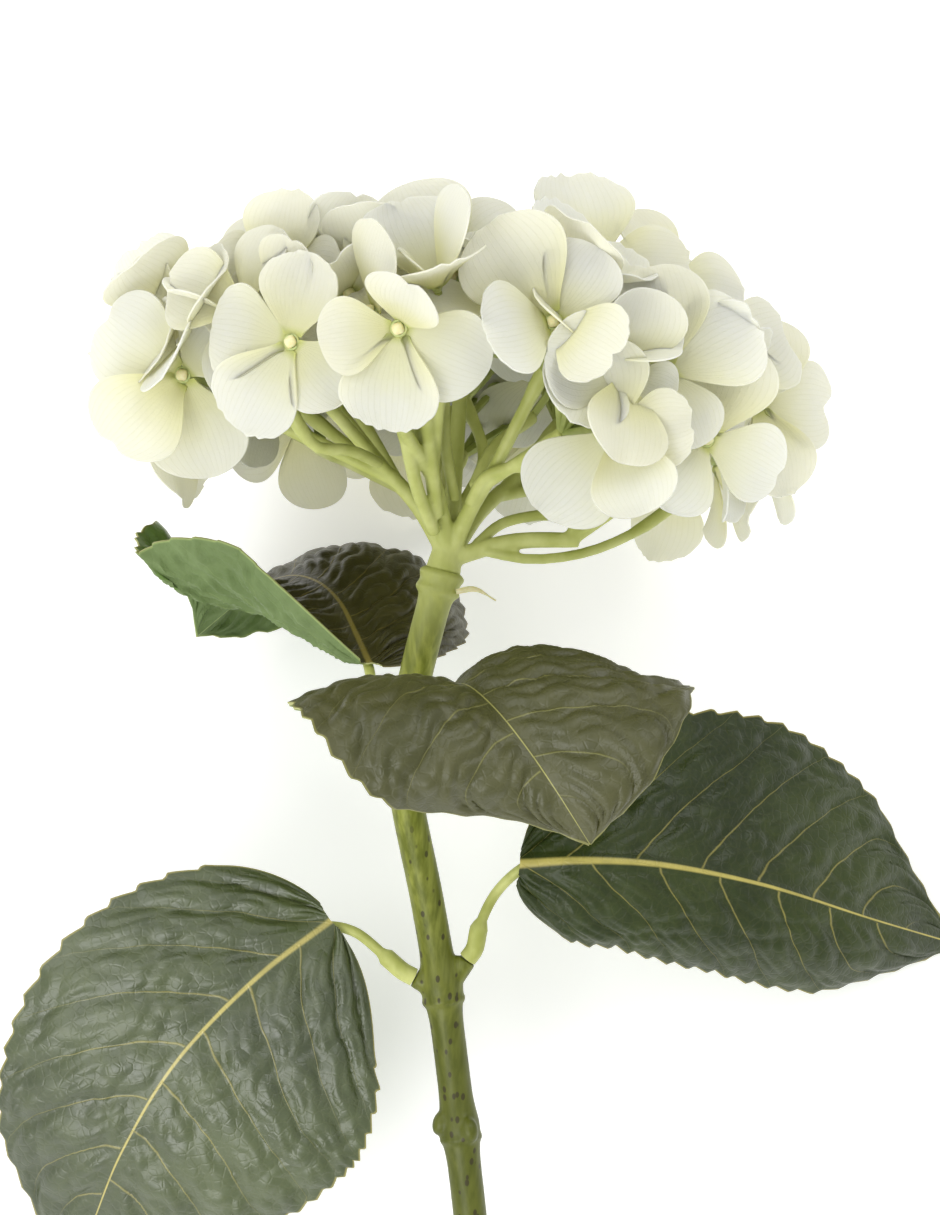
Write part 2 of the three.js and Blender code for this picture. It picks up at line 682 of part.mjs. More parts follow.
function pedicelRoute(floret, florets, parting, fork) {
  const others = florets.filter((other) => other !== floret);
  const seat = floret.centre.clone().addScaledVector(floret.axis, -EYE_HALF_HEIGHT - GAP);
  const start = parting.clone().lerp(fork, 0.03);
  const aside = floret.axis.clone().cross(headAxis).normalize();
  const routes = SWINGS.map((swing) => {
    const turning = floret.centre.clone().addScaledVector(floret.axis, -9).lerp(parting, 0.3);
    return [start, turning.addScaledVector(aside, swing), seat];
  });
  const clearance = (route) => {
    const places = new THREE.CatmullRomCurve3(route, false, "centripetal").getPoints(12);
    return Math.min(...others.map((other) => Math.min(...places.map((place) => place.distanceTo(other.centre)))));
  };
  return routes.find((route) => clearance(route) > CLEAR_OF_FLORETS) ?? routes[0];
}

function branchSolids(florets) {
  const solids = [];
  const root = headAxis.clone().multiplyScalar(1.5);
  const stemLine = new THREE.CatmullRomCurve3(STEM_ROUTE, false, "centripetal");
  const trunk = [GAP, GAP + 2].map((off) => stemLine.getPoint(1).addScaledVector(stemLine.getTangent(1), off));
  trunk.push(headAxis.clone().multiplyScalar(7));
  solids.push(rod(trunk, (share) => 4.5 - 1.2 * share, 8, [0, 0.5, 1]));
  const sectors = [-1, ...Array.from({ length: SECTORS }, (_, i) => i)];
  for (const sector of sectors) {
    const fork = forkOf(sector);
    const middle = root.clone().lerp(fork, 0.5).addScaledVector(headAxis, sector < 0 ? 0 : 2);
    solids.push(rod([root, middle, fork], (share) => PRIMARY_RADIUS - 0.4 * share, 6, evenRings(2)));
    const own = florets.filter((floret) => sectorOf(floret) === sector);
    for (const level of new Set(own.map((floret) => floret.level))) {
      const group = own.filter((floret) => floret.level === level);
      const parting = partingOf(sector, group);
      const sunk = fork.clone().lerp(root, 0.08);
      solids.push(rod([sunk, parting], () => SECONDARY_RADIUS, 4, [0, 1]));
      for (const floret of group) {
        const route = pedicelRoute(floret, florets, parting, fork);
        solids.push(rod(route, () => PEDICEL_RADIUS, 3, evenRings(2)));
      }
    }
  }
  return solids;
}

// Materials
const material = (colour, roughness) => new THREE.MeshStandardMaterial({ color: colour, roughness, metalness: 0 });
const MATERIALS = {
  stem: material(0x8f9c3c, 0.5),
  branch: material(0xa9b767, 0.55),
  petiole: material(0xa6b45c, 0.5),
  leaf: material(0x47532f, 0.6),
  sepal: material(0xf3f1dc, 0.75),
};

const solids = new Map();
const keep = (name, solid, finish) => solids.set(name, { solid, finish });

const stemParts = [rod(STEM_ROUTE, stemRadius, 11, stemRings())];
for (const leaf of Object.values(LEAVES)) stemParts.push(stub(...leaf.stub));
stemParts.push(bud(point(4.2, BUD_JOINT + 0.5, 3.2), point(2.5, 4.2, 2.2), 10));
stemParts.push(bud(point(-1.6, BUD_JOINT + 1.5, -1.5), point(2.3, 4, 2.2), -14));
keep("stem", joined(stemParts), MATERIALS.stem);

for (const [name, leaf] of Object.entries(LEAVES)) {
  keep(`petiole_${name}`, petiole(leaf), MATERIALS.petiole);
  keep(`leaf_${name}`, leafBlade(leaf), MATERIALS.leaf);
}

const florets = makeFlorets();
const branches = branchSolids(florets);
keep("flower_branches", joined(branches), MATERIALS.branch);

const unmoved = [...solids.entries()].filter(([name]) => name !== "flower_branches").map(([, one]) => one.solid);
const standing = [...branches, ...unmoved].map(boxed);
const rooms = florets.map((floret) => boxed(room(floret)));
const placed = [];
// The front florets take their places first, and then every other one of the rest.
for (const turn of [0, 1, 2]) {
  florets.forEach((floret, i) => {
    if (turn !== (floret.front ? 0 : 1 + (i % 2))) return;
    const others = [...standing, ...placed, ...rooms.filter((_, j) => j !== i)];
    const sisters = [];
    const surfaces = floret.sepals.map((sepal) => placeSepal(floret, sepal, others, sisters));
    const solid = floretSolid(floret, surfaces);
    placed.push(boxed(solid));
    keep(`floret_${String(i + 1).padStart(2, "0")}`, solid, MATERIALS.sepal);
  });
}

// The plant is laid on its back, with the lowest point below the table by what gets pressed flat, and the middle
// of its bounding box over the origin.
const lie = new THREE.Matrix4().makeRotationX(LIE_PITCH * DEGREE);
const laid = [...solids.values()].map(({ solid }) => solid.transform(lie.elements));
const table = Math.min(...laid.map((solid) => solid.boundingBox().min[2])) + FLAT_DEPTH;
const tableTop = new THREE.BoxGeometry(TABLE_SIDE, TABLE_SIDE, TABLE_DEPTH);
tableTop.translate(0, 0, table - TABLE_DEPTH / 2);
const pressed = laid.map((solid) => (solid.boundingBox().min[2] < table ? solid.subtract(solidOf(tableTop)) : solid));

const plant = new THREE.Group();
[...solids].forEach(([name, { finish }], i) => {
  const mesh = new THREE.Mesh(geometryOf(pressed[i]), finish);
  mesh.name = name;
  plant.add(mesh);
});
const box = new THREE.Box3().setFromObject(plant);
const middle = box.getCenter(point(0, 0, 0));
plant.position.set(-middle.x, -middle.y, -box.min.z);

export default plant;
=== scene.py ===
"""A cut mophead hydrangea laid on its back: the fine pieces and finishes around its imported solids."""

import math
import random
from itertools import product

import bpy
import numpy as np
from mathutils import Matrix, Vector
from mathutils.kdtree import KDTree
from numpy.linalg import norm


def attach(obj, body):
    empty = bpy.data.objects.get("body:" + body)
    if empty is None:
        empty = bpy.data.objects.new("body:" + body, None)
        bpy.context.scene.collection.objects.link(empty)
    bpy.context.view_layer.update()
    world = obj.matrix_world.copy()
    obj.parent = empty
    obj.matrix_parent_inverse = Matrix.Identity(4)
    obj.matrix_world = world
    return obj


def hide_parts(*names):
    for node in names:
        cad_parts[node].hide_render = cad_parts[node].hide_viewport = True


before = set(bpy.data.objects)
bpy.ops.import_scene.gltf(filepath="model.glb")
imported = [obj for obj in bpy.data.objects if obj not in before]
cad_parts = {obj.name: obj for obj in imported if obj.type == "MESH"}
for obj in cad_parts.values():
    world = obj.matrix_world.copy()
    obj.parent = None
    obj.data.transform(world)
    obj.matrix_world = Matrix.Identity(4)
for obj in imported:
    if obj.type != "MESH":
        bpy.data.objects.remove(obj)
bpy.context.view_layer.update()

bpy.ops.object.select_all(action="DESELECT")

# The plant is described in millimetres as it grew, as in its source: the top of the stem is the origin, +Y
# runs up the picture, +X to the right and +Z towards the viewer. It is then laid on its back.
MM = 0.001
LIE_PITCH = math.radians(18.3)
LAID_AT = Vector((-9.4481, 71.5507, 82.5278))
LAID = Matrix.Scale(MM, 4) @ Matrix.Translation(LAID_AT) @ Matrix.Rotation(LIE_PITCH, 4, "X")
LAID_ROWS = np.array(LAID)


def laid(places):
    """Places of the plant, in millimetres, as places on the table in metres"""
    return np.asarray(places) @ LAID_ROWS[:3, :3].T + LAID_ROWS[:3, 3]


def unit(vectors):
    vectors = np.asarray(vectors, float)
    return vectors / norm(vectors, axis=-1, keepdims=True)


def smooth(value, low, high=1.0):
    share = np.clip((value - low) / (high - low), 0, 1)
    return share * share * (3 - 2 * share)


DRAW_FACTOR = 16807
DRAW_RANGE = 2147483647


def draws(seed):
    """Draws the same numbers each time, in the order of the plant's source"""
    state = seed

    def draw(low, high):
        nonlocal state
        state = state * DRAW_FACTOR % DRAW_RANGE
        return low + (high - low) * state / DRAW_RANGE

    return draw


SPAN_STEPS = 40
SHORT_STEP = 0.004


class Route:
    """A smooth line through points, read by shares of its length"""

    def __init__(self, points):
        knots = np.array(points, float)
        if len(knots) == 2:
            knots = np.vstack([knots[0], knots.mean(axis=0), knots[1]])
        knots = np.vstack([2 * knots[0] - knots[1], knots, 2 * knots[-1] - knots[-2]])
        t = np.linspace(0, 1, SPAN_STEPS, endpoint=False)[:, None]
        spans = []
        for a, b, c, d in zip(knots, knots[1:], knots[2:], knots[3:]):
            before, here, after = (norm(q - p) ** 0.5 for p, q in ((a, b), (b, c), (c, d)))
            leave = ((b - a) / before - (c - a) / (before + here) + (c - b) / here) * here
            reach = ((c - b) / here - (d - b) / (here + after) + (d - c) / after) * here
            swing = (2 * b - 2 * c + leave + reach) * t**3 + (-3 * b + 3 * c - 2 * leave - reach) * t**2
            spans.append(swing + leave * t + b)
        self.places = np.vstack([*spans, knots[-2]])
        steps = norm(np.diff(self.places, axis=0), axis=1)
        self.length = steps.sum()
        self.shares = np.concatenate([[0], np.cumsum(steps)]) / self.length

    def at(self, share):
        return np.stack([np.interp(share, self.shares, self.places[:, k]) for k in range(3)], axis=-1)

    def ahead(self, share):
        share = np.asarray(share, float)
        before, after = np.maximum(share - SHORT_STEP, 0), np.minimum(share + SHORT_STEP, 1)
        return unit(self.at(after) - self.at(before))


# Materials
def tint(colour):
    """A colour of the screen, 0 to 255, as the shader takes it"""
    return (*(((c / 255 + 0.055) / 1.055) ** 2.4 if c > 10 else c / 3294 for c in colour), 1)


class Value:
    """A value in a material's nodes. What is reckoned with it adds nodes."""

    def __init__(self, finish, socket):
        self.finish = finish
        self.socket = socket

    def __add__(self, other):
        return self.finish.reckon("ADD", self, other)

    def __sub__(self, other):
        return self.finish.reckon("SUBTRACT", self, other)

    def __rsub__(self, other):
        return self.finish.reckon("SUBTRACT", other, self)

    def __mul__(self, other):
        return self.finish.reckon("MULTIPLY", self, other)

    def __abs__(self):
        return self.finish.reckon("ABSOLUTE", self)

    def ramp(self, low, high):
        """0 at low and 1 at high, smoothly between"""
        inputs = {"Value": self, "From Min": low, "From Max": high}
        return self.finish.node("MapRange", inputs, interpolation_type="SMOOTHSTEP")

    def blend(self, low, high):
        """The colour low where this is 0, and high where it is 1"""
        low, high = (tint(colour) if isinstance(colour, tuple) else colour for colour in (low, high))
        return self.finish.node("Mix", {0: self, 6: low, 7: high}, output=2, data_type="RGBA")


class Finish:
    """A material whose nodes are added one by one. Sockets are named with _ for a space."""

    def __init__(self, name, roughness, **sockets):
        self.material = bpy.data.materials.new(name)
        self.material.use_nodes = True
        self.tree = self.material.node_tree
        self.shader = self.tree.nodes["Principled BSDF"]
        self.shader.inputs["Roughness"].default_value = roughness
        for socket, value in sockets.items():
            self.shader.inputs[socket.replace("_", " ")].default_value = value

    def node(self, kind, inputs, output=0, **settings):
        node = self.tree.nodes.new("ShaderNode" + kind)
        for setting, value in settings.items():
            setattr(node, setting, value)
        for socket, value in inputs.items():
            self.put(node.inputs[socket], value)
        return Value(self, node.outputs[output])

    def put(self, socket, value):
        if isinstance(value, Value):
            self.tree.links.new(value.socket, socket)
        else:
            socket.default_value = value

    def reckon(self, operation, *values):
        return self.node("Math", dict(enumerate(values)), operation=operation)

    def place(self, stretch):
        spot = self.node("TexCoord", {}, output="Object")
        return self.node("Mapping", {"Vector": spot, "Scale": stretch})

    def noise(self, scale, detail=3, stretch=(1, 1, 1)):
        inputs = {"Scale": scale, "Detail": detail, "Vector": self.place(stretch)}
        return self.node("TexNoise", inputs)

    def cells(self, scale, feature, stretch=(1, 1, 1)):
        inputs = {"Scale": scale, "Vector": self.place(stretch)}
        return self.node("TexVoronoi", inputs, feature=feature)

    def attribute(self, name):
        return self.node("Attribute", {}, output="Fac", attribute_name=name)

    def colour(self, value):
        self.put(self.shader.inputs["Base Color"], value)

    def rough(self, value):
        self.put(self.shader.inputs["Roughness"], value)

    def bump(self, height, distance, strength):
        inputs = {"Height": height, "Distance": distance, "Strength": strength}
        self.put(self.shader.inputs["Normal"], self.node("Bump", inputs))


WHITE = (1, 1, 1, 1)
VEIN_FAN = 26
NET_STRENGTH = 0.03


def sepal_finish():
    """Creamy white, greener towards the claw, with faint veins that fan out from it"""
    finish = Finish(
        "sepal_cream", 0.6, Subsurface_Weight=0.65, Subsurface_Scale=0.004,
        Subsurface_Radius=(1, 0.96, 0.7), Specular_IOR_Level=0.2,
    )
    out, aside, tone = (finish.attribute(name) for name in ("out", "aside", "tone"))
    cream = tone.blend((221, 219, 193), (225, 226, 211))
    deep = tone.blend((213, 210, 150), (219, 218, 174))
    patches = (finish.noise(90, 2) - 0.5) * 0.35
    body = (out + patches).ramp(0.05, 0.85).blend(deep, cream)
    body = out.ramp(0, 0.13).blend((190, 196, 108), body)
    fan = aside * VEIN_FAN + finish.noise(140, 2) * 0.9
    vein = 1 - abs(finish.reckon("SINE", fan)).ramp(0, 0.35)
    finish.colour((vein * 0.16).blend(body, (197, 197, 150)))
    finish.bump(vein * 0.6 + finish.noise(1400, 2), distance=0.00012, strength=0.6)
    return finish.material


def grained_finish(name, roughness, scale, dark, light, relief=0.0, **sockets):
    """Two colours in one grain, which is also raised where relief is set"""
    finish = Finish(name, roughness, **sockets)
    grain = finish.noise(scale)
    finish.colour(grain.blend(dark, light))
    if relief:
        finish.bump(grain, relief, strength=0.5)
    return finish.material


def leaf_finish(name, deep, light, vein_colour, roughness, gloss, vein_strength, tip=None):
    """A leaf's upper or lower skin, with its network of veins read from the blade's own attributes"""
    finish = Finish(name, roughness, Specular_IOR_Level=gloss)
    fine = finish.noise(160, 4)
    skin = (finish.noise(22) * 0.65 + fine * 0.35).ramp(0.3, 0.7).blend(deep, light)
    if tip:
        skin = finish.attribute("paler").blend(skin, tip)
    wobble = (finish.noise(70, 2) - 0.5) * 0.22
    near = abs(finish.reckon("FRACT", finish.attribute("vein_phase") + wobble) - 0.5) * 2
    width = (1.3 - abs(finish.attribute("aside"))) * 0.055
    side = near.ramp(1 - width, 1) * finish.attribute("vein_share")
    net = 1 - finish.cells(430, "DISTANCE_TO_EDGE").ramp(0, 0.16)
    rib_edge = finish.attribute("rib_width")
    middle = 1 - finish.attribute("rib_mm").ramp(rib_edge * 0.3, rib_edge)
    veins = finish.reckon("MAXIMUM", side * vein_strength, middle)
    lines = finish.reckon("MAXIMUM", veins, net * (NET_STRENGTH * vein_strength))
    skin = (lines * (fine * 0.8 + 0.55)).blend(skin, vein_colour)
    edge = 1 - finish.attribute("edge_mm").ramp(0.2, 0.7)
    finish.colour((edge * 0.5).blend(skin, vein_colour))
    finish.rough((fine - 0.5) * 0.25 + roughness)
    finish.bump(net * -0.25 + fine * 0.9 + side * 0.5, distance=0.0003, strength=0.6)
    return finish.material


def weathered(finish, bark, low, top):
    """Bark over the stem's height in millimetres: low downwards, with dark pores, and top at the collar"""
    grown = finish.attribute("grown")
    bark = (grown.ramp(-50, -130) * 0.8).blend(bark, low)
    pore = (1 - finish.cells(1, "F1", (400, 230, 400)).ramp(0.17, 0.26)) * grown.ramp(-55, -75)
    bark = (pore * 0.85).blend(bark, (52, 46, 20))
    return (grown.ramp(-26, -3) * 0.75).blend(bark, top)


def stalk_finish(name, deep, light, roughness, stretch=(150, 90, 150), low=None, top=None):
    """Green bark with pale streaks, and weathered over its height where low and top are set"""
    finish = Finish(name, roughness, Specular_IOR_Level=0.35)
    streak, cloud = finish.noise(1, 4, stretch), finish.noise(40)
    bark = (streak * 0.7 + cloud * 0.35).ramp(0.35, 0.72).blend(deep, light)
    finish.colour(weathered(finish, bark, low, top) if low else bark)
    finish.bump(streak + cloud * 0.4, distance=0.0002, strength=0.4 if low else 0.2)
    return finish.material


SEPAL = sepal_finish()
WAX = dict(roughness=0.5, scale=900, relief=0.0002, Subsurface_Weight=0.15, Subsurface_Scale=0.001)
EYE = grained_finish("floret_eye", dark=(214, 206, 130), light=(244, 240, 206), **WAX)
CALYX = grained_finish("floret_calyx", dark=(160, 172, 96), light=(206, 212, 150), **WAX)
YELLOW_VEIN = (184, 172, 92)
# A leaf's skin is its deep and light green, its veins' colour, roughness, gloss and its veins' strength
UPPER_SKIN = leaf_finish("leaf_upper", (46, 58, 20), (72, 84, 40), YELLOW_VEIN, 0.42, 1.0, 0.45)
RIGHT_SKIN = leaf_finish("leaf_upper_deep", (32, 44, 10), (54, 66, 24), YELLOW_VEIN, 0.4, 0.35, 0.45)
FRONT_SKIN = leaf_finish("leaf_upper_matte", (62, 64, 28), (80, 80, 44), (158, 156, 88), 0.42, 0.5, 0.4)
BACK_SKIN = leaf_finish(
    "leaf_upper_dark", (48, 46, 14), (76, 73, 36), (148, 134, 66), 0.36, 0.4, 0.5, tip=(104, 132, 66),
)
# The leaves' lower skin is the underside's own paler green with painted shade: it is darkened to the tone
# of an underside in shadow.
LOWER_SKIN_PAINTED_SHADE = leaf_finish("leaf_lower_painted_shade", (88, 108, 58), (118, 138, 88), (168, 184, 112), 0.55, 0.3, 0.35)
MARGIN = grained_finish("leaf_margin", roughness=0.6, scale=400, dark=(150, 156, 96), light=(186, 186, 128))
STEM_BARK = stalk_finish(
    "stem_bark", (100, 108, 24), (154, 160, 68), roughness=0.42, stretch=(620, 45, 620),
    low=(64, 70, 8), top=(186, 192, 112),
)
BRANCH_BARK = stalk_finish("branch_bark", (176, 183, 98), (204, 209, 134), roughness=0.45)
PETIOLE_BARK = stalk_finish("petiole_bark", (156, 162, 78), (198, 202, 124), roughness=0.45)
STALK_BARK = stalk_finish("stalk_bark", (140, 152, 76), (180, 188, 112), roughness=0.5)


# Pieces
def pick_out(*pieces):
    """Selects these pieces alone, the first of them active"""
    bpy.ops.object.select_all(action="DESELECT")
    for piece in pieces:
        piece.select_set(True)
    bpy.context.view_layer.objects.active = pieces[0]


def finish_piece(piece, name, nodes=(), angle=60):
    """A finished piece rides on the plant, in the place of its solids"""
    piece.name = name
    piece.data.name = name
    pick_out(piece)
    bpy.ops.object.shade_smooth_by_angle(angle=math.radians(angle))
    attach(piece, "root")
    if nodes:
        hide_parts(*nodes)


def dress(piece, *finishes):
    piece.data.materials.clear()
    for finish in finishes:
        piece.data.materials.append(finish)


def copy_of(piece):
    """A copy with a mesh of its own"""
    copy = piece.copy()
    copy.data = piece.data.copy()
    bpy.context.collection.objects.link(copy)
    return copy


def join(pieces):
    pick_out(*pieces)
    bpy.ops.object.join()
    return bpy.context.object


def apply_modifier(piece, kind, **settings):
    pick_out(piece)
    modifier = piece.modifiers.new(kind, kind)
    for setting, value in settings.items():
        setattr(modifier, setting, value)
    bpy.ops.object.modifier_apply(modifier=modifier.name)
    return piece


def thicken(sheet, thickness, **settings):
    apply_modifier(sheet, "SOLIDIFY", thickness=thickness * MM, offset=0, **settings)


def places_of(piece):
    places = np.empty(len(piece.data.vertices) * 3)
    piece.data.vertices.foreach_get("co", places)
    return places.reshape(-1, 3)


def move_to(piece, places):
    piece.data.vertices.foreach_set("co", np.ascontiguousarray(places, float).ravel())
    piece.data.update()


def set_attribute(piece, name, values):
    attribute = piece.data.attributes.new(name, "FLOAT", "POINT")
    attribute.data.foreach_set("value", np.ascontiguousarray(values, np.float32))


def new_sheet(across, along):
    """A grid to be bent into a blade, with its shares: u from -1 to 1 across and v from 0 to 1 along"""
    bpy.ops.mesh.primitive_grid_add(x_subdivisions=across, y_subdivisions=along, size=2)
    sheet = bpy.context.object
    places = places_of(sheet)
    return sheet, places[:, 0].copy(), (places[:, 1] + 1) / 2


def rods(routes, sides):
    """One mesh of round rods, each a pair of places in millimetres and radii"""
    bpy.ops.curve.primitive_nurbs_path_add()
    path = bpy.context.object
    path.data.splines.clear()
    for places, radii in routes:
        spline = path.data.splines.new("POLY")
        spline.points.add(len(places) - 1)
        for knot, place, radius in zip(spline.points, laid(places), radii):
            knot.co = (*place, 1)
            knot.radius = radius
    path.data.bevel_depth = MM
    path.data.bevel_resolution = sides
    path.data.use_fill_caps = True
    path.data.twist_mode = "MINIMUM"
    path.location = (0, 0, 0)
    bpy.ops.object.convert(target="MESH")
    return bpy.context.object


def grow_together(piece, voxel, rounds=2):
    """Rods that cross become one skin, which is then eased at the forks"""
    apply_modifier(piece, "REMESH", mode="VOXEL", voxel_size=voxel * MM, use_smooth_shade=True)
    return apply_modifier(piece, "SMOOTH", factor=0.5, iterations=rounds)


# The stem. A joint is its height, how far it swells and how far the swelling reaches.
STEM_ROUTE = [
    (16, -250, 0), (9.5, -205, 0), (5.4, -160.5, 0), (3, -140, 0), (-1.6, -104, 0), (-5.2, -82.7, 0),
    (-10.2, -58, 0), (-11.8, -45, 0), (-8.3, -28.4, 0), (-4.6, -13.6, 0), (-1.2, -1.2, 0),
]
JOINTS = [(-139, 0.9, 5), (-104, 1.2, 5), (-45, 1.2, 5), (-4, 1, 3.5)]
STEM_RADIUS = 4.2
GAP = 0.35
STEM_STEPS = 190
STUB_RADII = [2.7, 2.5]
# A bud is its middle, its half sizes and its turn in degrees. A ring is its height and half its thickness.
BUDS = [((5.3, -139, 4.3), (2.2, 3.2, 2.2), 10), ((-1.9, -137.6, 1.4), (2.0, 3.2, 2.4), -14)]
RINGS = [(-141.5, 0.75), (-107.5, 0.85), (-48.5, 0.85), (-6.2, 1.05), (-2.6, 0.95)]
RING_SUNK = 0.2
BRACT_ROUTE = [(2, -6.6, 3.6), (6.6, -6, 3.2), (11.8, -8.8, 1.8)]


def stem_radius(heights):
    swells = [swell * np.exp(-(((heights - height) / reach) ** 2)) for height, swell, reach in JOINTS]
    return STEM_RADIUS + np.max(swells, axis=0)


def stem_bud(centre, size, turn):
    bpy.ops.mesh.primitive_uv_sphere_add(segments=24, ring_count=16, radius=1)
    bud = bpy.context.object
    spot = Matrix.Translation(centre) @ Matrix.Rotation(math.radians(turn), 4, "Z")
    bud.data.transform(LAID @ spot @ Matrix.Diagonal((*size, 1)))
    return bud


def stem_ring(line, height, half_thickness):
    shares = np.linspace(0, 1, STEM_STEPS)
    share = np.interp(height, line.at(shares)[:, 1], shares)
    radius = float(stem_radius(np.array([height]))[0])
    bpy.ops.mesh.primitive_torus_add(
        major_segments=48, minor_segments=12, major_radius=radius - RING_SUNK, minor_radius=half_thickness,
    )
    ring = bpy.context.object
    turn = Vector((0, 0, 1)).rotation_difference(Vector(line.ahead(share))).to_matrix().to_4x4()
    ring.data.transform(LAID @ Matrix.Translation(line.at(share)) @ turn)
    return ring


def make_stem():
    """The stem with its stubs, buds and rings in one skin. grown is the height of each of its corners."""
    line = Route(STEM_ROUTE)
    places = line.at(np.linspace(0, 1, STEM_STEPS))
    stubs = [(leaf["stub"], STUB_RADII) for leaf in LEAVES.values()]
    core = rods([(places, stem_radius(places[:, 1])), *stubs], sides=7)
    buds = [stem_bud(*bud) for bud in BUDS]
    rings = [stem_ring(line, *ring) for ring in RINGS]
    stem = grow_together(join([core, *buds, *rings]), voxel=0.62, rounds=3)
    dress(stem, STEM_BARK)
    grown = (places_of(stem) - LAID_ROWS[:3, 3]) @ LAID_ROWS[:3, 1] / MM**2
    set_attribute(stem, "grown", grown)
    finish_piece(stem, "stem_bark", ["stem"])


def make_bract():
    """A pale sliver that a bract left on the collar"""
    shares = np.linspace(0, 1, 14)
    radii = 0.25 + 0.55 * np.sin(np.pi * np.minimum(shares + 0.25, 1))
    sliver = rods([(Route(BRACT_ROUTE).at(shares), radii)], sides=2)
    dress(sliver, EYE)
    finish_piece(sliver, "bract_sliver", angle=40)


# Leaves, as in the plant's source. Lists of two are the left and the right side's; an inner list runs from
# the base to the tip.
LEAVES = {
    "lower_left": {
        "stub": [(-3, -104.6, 0.6), (-8.2, -101.8, 1)],
        "petiole": [(-15.5, -96.6, 0), (-23.5, -90.6, -2)],
        "rib": [(-28.6, -87.6, 0.4), (-47, -101.5, 5), (-66.7, -122, 6), (-80.5, -144.7, -2),
                (-88, -162, -14), (-95, -180, -29)],
        "asides": [(-0.6, 0.75, -0.1), (-0.75, 0.6, 0.05), (-0.85, 0.45, 0.2)],
        "half_width": [[51], [41]],
        "broadest": [0.44, 0.42],
        "fold": [[8], [6]],
        "curl": [[-26], [-26]],
        "lean": [0.12, 0.04],
    },
    "lower_right": {
        "stub": [(0, -104, 0.5), (4.6, -97.4, 1.2)],
        "petiole": [(7.8, -89, 1.2), (12.2, -80.5, -0.2)],
        "rib": [(17.3, -73.5, 5), (33, -72.6, 7), (51.4, -73.8, 3), (77.5, -79.5, -9), (108, -90, -31),
                (133, -98.5, -55.3)],
        "asides": [(0.1, -0.95, 0.3), (0.03, -0.95, 0.35), (-0.05, -0.9, 0.42)],
        "half_width": [[44, 44, 44, 42, 32], [33, 27, 30, 37, 40]],
        "broadest": [0.44, 0.36],
        "fold": [[8], [-10]],
        "curl": [[-14], [-72]],
        "lean": [-0.05, 0.25],
    },
    "upper_front": {
        "stub": [(-10.6, -45, 3), (-8.4, -43.3, 8)],
        "petiole": [(-5, -40.4, 14)],
        "rib": [(-2, -34.5, 19), (1, -30, 34), (5.4, -29.5, 50), (12.4, -35.5, 61), (20, -45, 66),
                (26.2, -54, 66), (33.4, -65.4, 62)],
        "asides": [(-1, 0.04, 0.1), (-1, 0.2, 0.12), (-0.9, 0.3, -0.1)],
        "half_width": [[57], [42]],
        "broadest": [0.48, 0.46],
        "fold": [[45, 62, 50, 25, 20], [14, 8, 8, 8]],
        "curl": [[-100, -130, -110, -80, -60], [-60, -46, -30, -20]],
        "lean": [-0.14, 0.34],
    },
    "upper_back": {
        "stub": [(-12.6, -45, -2), (-15.3, -41.4, -7.6)],
        "petiole": [(-18.2, -35, -10)],
        "rib": [(-19.6, -25, -10), (-23.5, -17, -22), (-28, -9, -33), (-34, -4, -43), (-41, -2.5, -50.9),
                (-49, -5, -56.9), (-57, -10.5, -59), (-66, -18, -58.5)],
        "asides": [(0.75, 0.1, -0.5), (0.88, 0.2, -0.45), (0.8, 0.1, -0.6)],
        "half_width": [[58], [30, 42, 46, 46, 44]],
        "broadest": [0.5, 0.44],
        "fold": [[-20, -25, -20, -5, 0], [16, 20, 40, 56]],
        "curl": [[110, 120, 80, 45, 20], [-50, -75, -95, -95]],
        "lean": [-0.05, -0.05],
    },
}
MIDRIB_SHARES = [0.02, 0.08, 0.16, 0.26, 0.36, 0.46, 0.56]
MIDRIB_RADIUS = 1.35
MIDRIB_TAPER = 1.4
PETIOLE_STEPS = 90
PLUG_LENGTH = 9
PLUG_STRAIGHT = 3
PLUG_RADIUS = 2.3
BLADE_THICKNESS = 0.7
FINE_THICKNESS = 0.45
BLADE_START = 0.004
BLADE_SHARE = 0.994
ROUNDNESS = 0.62
TAPER = 0.42
TAPER_START = 0.72
TIP_SHARE = 0.1
TIP_BLUNTNESS = 0.38
TEETH = 20
TOOTH_DEPTH = 1.5
TOOTH_BACK = 0.78
SIDE_VEINS = 8
VEIN_SLANT = 0.34
VEIN_BEND = 1.25
VEIN_OFFSET = 0.35
RUNG_STEP = 2.9
RIB_REACH = 2.2
# How each upper skin looks: heights and widths in millimetres, and ridges as a share of the quilting
LOOKS = {
    "lower_left": {"skin": UPPER_SKIN, "quilt": 1.6, "ridges": 0.15, "rib": 0.6, "rib_width": 1.0},
    "lower_right": {"skin": RIGHT_SKIN, "quilt": 1.4, "ridges": 0.25, "rib": 0.9, "rib_width": 1.15},
    "upper_front": {"skin": FRONT_SKIN, "quilt": 1.4, "ridges": 0.5, "rib": 0.35, "rib_width": 0.4},
    "upper_back": {"skin": BACK_SKIN, "quilt": 1.2, "ridges": 0.6, "rib": 0.4, "rib_width": 0.9},
}


def leaf_outline(v, broadest):
    """A leaf's half width along its rib, as a share of the greatest"""
    v = np.clip(v, 1e-5, 1 - 1e-5)
    rounded = np.sin(np.pi * v ** (math.log(0.5) / np.log(broadest))) ** ROUNDNESS
    pointed = np.minimum((1 - v) / TIP_SHARE, 1) ** TIP_BLUNTNESS
    return rounded * (1 - TAPER * smooth(v, TAPER_START)) * pointed


def by_side(leaf, name, u, v):
    """A leaf's value at places of its blade: its left or right side's, read along the rib"""
    left, right = (np.atleast_1d(value).astype(float) for value in leaf[name])
    return np.where(u < 0, *(np.interp(v, np.linspace(0, 1, len(side)), side) for side in (left, right)))


def leaf_width(leaf, u, v):
    return by_side(leaf, "half_width", u, v) * leaf_outline(v, by_side(leaf, "broadest", u, v))


